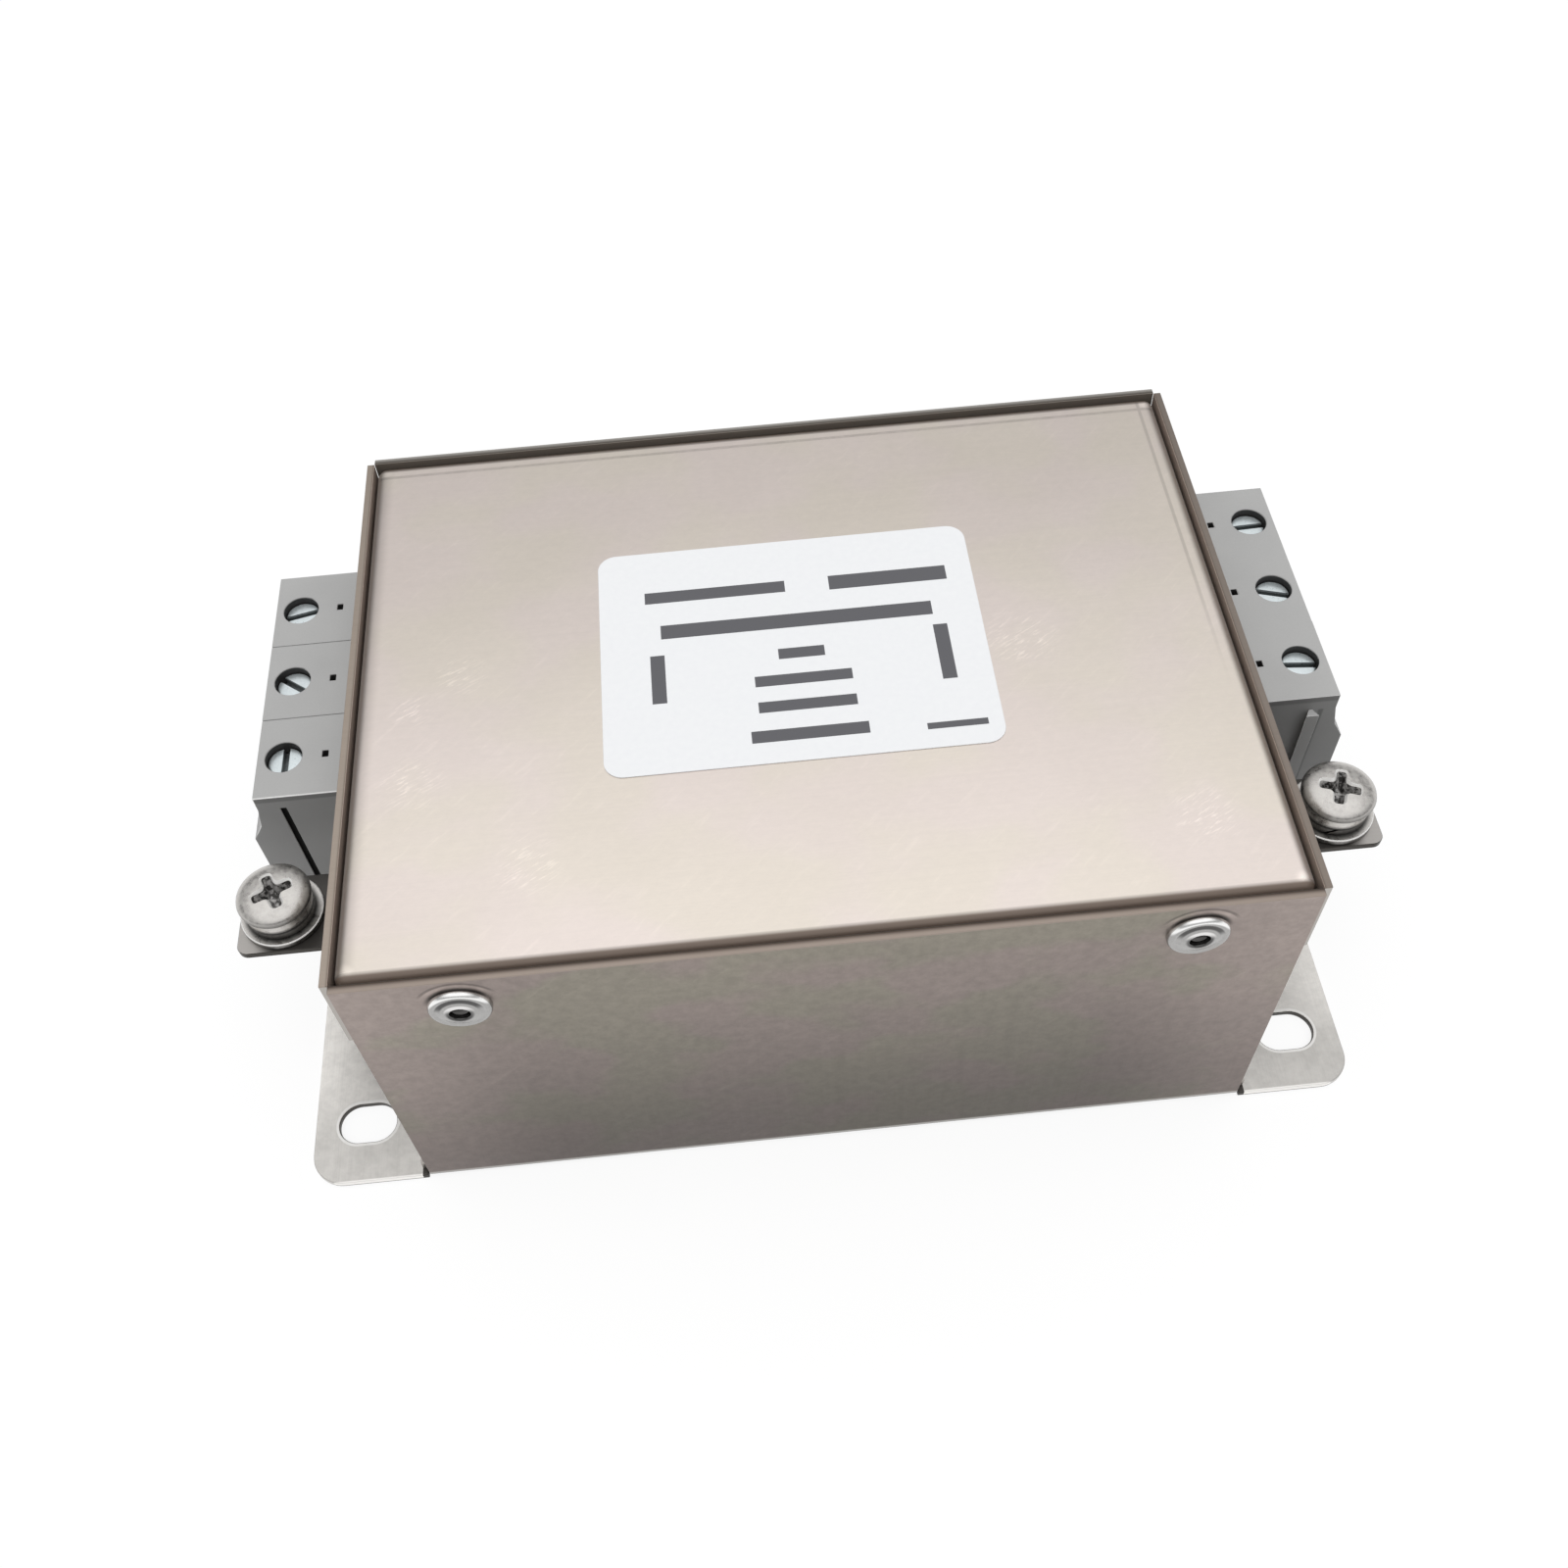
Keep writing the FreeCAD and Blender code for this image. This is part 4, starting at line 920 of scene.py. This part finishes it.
inner_finish("Cage steel", (0.52, 0.51, 0.49), (0.74, 0.73, 0.71),
             at_both_ends("clamp_cage"), cells=2, metal=1.0)
inner_finish("Tinned brass", (0.60, 0.48, 0.28), (0.76, 0.66, 0.46),
             at_both_ends("contact_bar") + ["board_spacers"], cells=1, metal=1.0)
inner_finish("Board screw zinc", (0.64, 0.68, 0.72), (0.84, 0.86, 0.88),
             ["board_screws"], cells=3, metal=1.0, rough=0.22)
inner_finish("Board laminate", (0.02, 0.10, 0.05), (0.04, 0.17, 0.08),
             ["circuit_board"], cells=(2.5, 2.5, 0.4), rough=0.35)
inner_finish("Insulating film", (0.015, 0.015, 0.018), (0.04, 0.04, 0.045),
             ["insulation_film"], cells=0.5, rough=0.35)
inner_finish("Core coating", (0.01, 0.09, 0.06), (0.03, 0.14, 0.10),
             ["choke_core"], cells=2, rough=0.5, relief=0.06)
inner_finish("Enamelled copper", (0.42, 0.12, 0.04), (0.60, 0.20, 0.08),
             one_to_three("choke_winding"), cells=1, metal=1.0, rough=0.2)
inner_finish("Black moulding", (0.012, 0.012, 0.013), (0.03, 0.03, 0.032),
             ["choke_base", "choke_divider"], cells=2, rough=0.45, relief=0.03)
inner_finish("Yellow box", (0.60, 0.34, 0.02), (0.72, 0.45, 0.04),
             at_both_ends("x_capacitor"), cells=1)
inner_finish("Blue dip", (0.01, 0.06, 0.22), (0.03, 0.11, 0.33),
             one_to_three("y_capacitor"), cells=0.8, relief=0.06)
inner_finish("Tan lacquer", (0.36, 0.24, 0.12), (0.48, 0.34, 0.20),
             one_to_three("discharge_resistor"), cells=2, rough=0.4, relief=0.03)


# The part stands on a pale table under a soft white sky, with a wide lamp overhead. The lamp
# is two in one place: both light the part, and metal mirrors only the weaker one.
def seen_rays(nodes):
    """1 where the camera looks, straight or by way of a mirror or glass, and 0 for light."""
    camera_ray = nodes.add("ShaderNodeLightPath", output="Is Camera Ray")
    return camera_ray + camera_ray.beside("Is Glossy Ray") + camera_ray.beside(
        "Is Transmission Ray")


floor_mesh = bpy.data.meshes.new("floor")
reach, floor_below = 3.0, 0.05 * mm
floor_mesh.from_pydata([(-reach, -reach, -floor_below), (reach, -reach, -floor_below),
                        (reach, reach, -floor_below), (-reach, reach, -floor_below)],
                       [], [(0, 1, 2, 3)])
floor = bpy.data.objects.new("floor", floor_mesh)
bpy.context.collection.objects.link(floor)
floor_material, nodes = new_material("Pale table")
matt = nodes.add("ShaderNodeBsdfDiffuse", values={"Color": rgb(0.60, 0.60, 0.60)})
white = nodes.add("ShaderNodeEmission", values={"Color": rgb(1, 1, 1), "Strength": 1.15})
mixed = nodes.add("ShaderNodeMixShader", values={0: seen_rays(nodes) * 0.75, 1: matt, 2: white})
nodes.add("ShaderNodeOutputMaterial", values={"Surface": mixed})
floor_mesh.materials.append(floor_material)

# The sky lights the part most from above. What is seen of it, in the picture and in the metal,
# is bright near the horizon, dim above that and bright again towards the top.
world = bpy.data.worlds.new("Soft sky")
world.use_nodes = True
bpy.context.scene.world = world
nodes = Nodes(world.node_tree)
up = nodes.parts(nodes.add("ShaderNodeTexCoord", output="Generated"))[2]
glow = nodes.largest(1.32 * up, 0.30)
near_horizon = 1.0 - 0.65 * nodes.ramp(up, 0.06, 0.30)
overhead = 2.2 * up - 0.71 - 4.4 * nodes.largest(up - 0.89, 0.0)
seen_glow = nodes.largest(overhead, near_horizon)
strength = nodes.add("ShaderNodeMix", {"data_type": "FLOAT"},
                     {0: seen_rays(nodes), 2: glow, 3: seen_glow})
sky = nodes.add("ShaderNodeBackground", values={"Color": rgb(1, 1, 1), "Strength": strength})
nodes.add("ShaderNodeOutputWorld", values={"Surface": sky})

lamp_place, lamp_aim, lamp_size = (0.0, -0.25, 1.15), (0.0, 0.0, 0.02), 0.96
for name, watts, mirrored in (("Overhead", 2.3, False), ("Glint", 1.2, True)):
    lamp = bpy.data.lights.new(name, "AREA")
    lamp.shape = "SQUARE"
    lamp.size = lamp_size
    lamp.energy = watts
    holder = bpy.data.objects.new(name, lamp)
    holder.location = lamp_place
    way = Vector(lamp_aim) - Vector(lamp_place)
    holder.rotation_euler = way.to_track_quat("-Z", "Y").to_euler()
    holder.visible_glossy = mirrored
    bpy.context.collection.objects.link(holder)

# The camera was solved from the straight edges of the case in the photograph. Its turns are in
# degrees: where it heads, how far it is tilted up from straight down, and how it leans.
heading, tilt, lean = -2.095, 35.877, -3.823
stand = (-0.00579, -0.10587, 0.16636)
lens = bpy.data.cameras.new("Camera")
lens.sensor_width = 36.0
lens.lens = 36.008
lens.clip_start = 0.01
camera = bpy.data.objects.new("Camera", lens)
look = (Matrix.Rotation(math.radians(heading), 4, "Z")
        @ Matrix.Rotation(math.radians(tilt), 4, "X")
        @ Matrix.Rotation(math.radians(lean), 4, "Z"))
camera.matrix_world = Matrix.Translation(stand) @ look
bpy.context.collection.objects.link(camera)
bpy.context.scene.camera = camera
bpy.context.scene.view_settings.view_transform = "Standard"
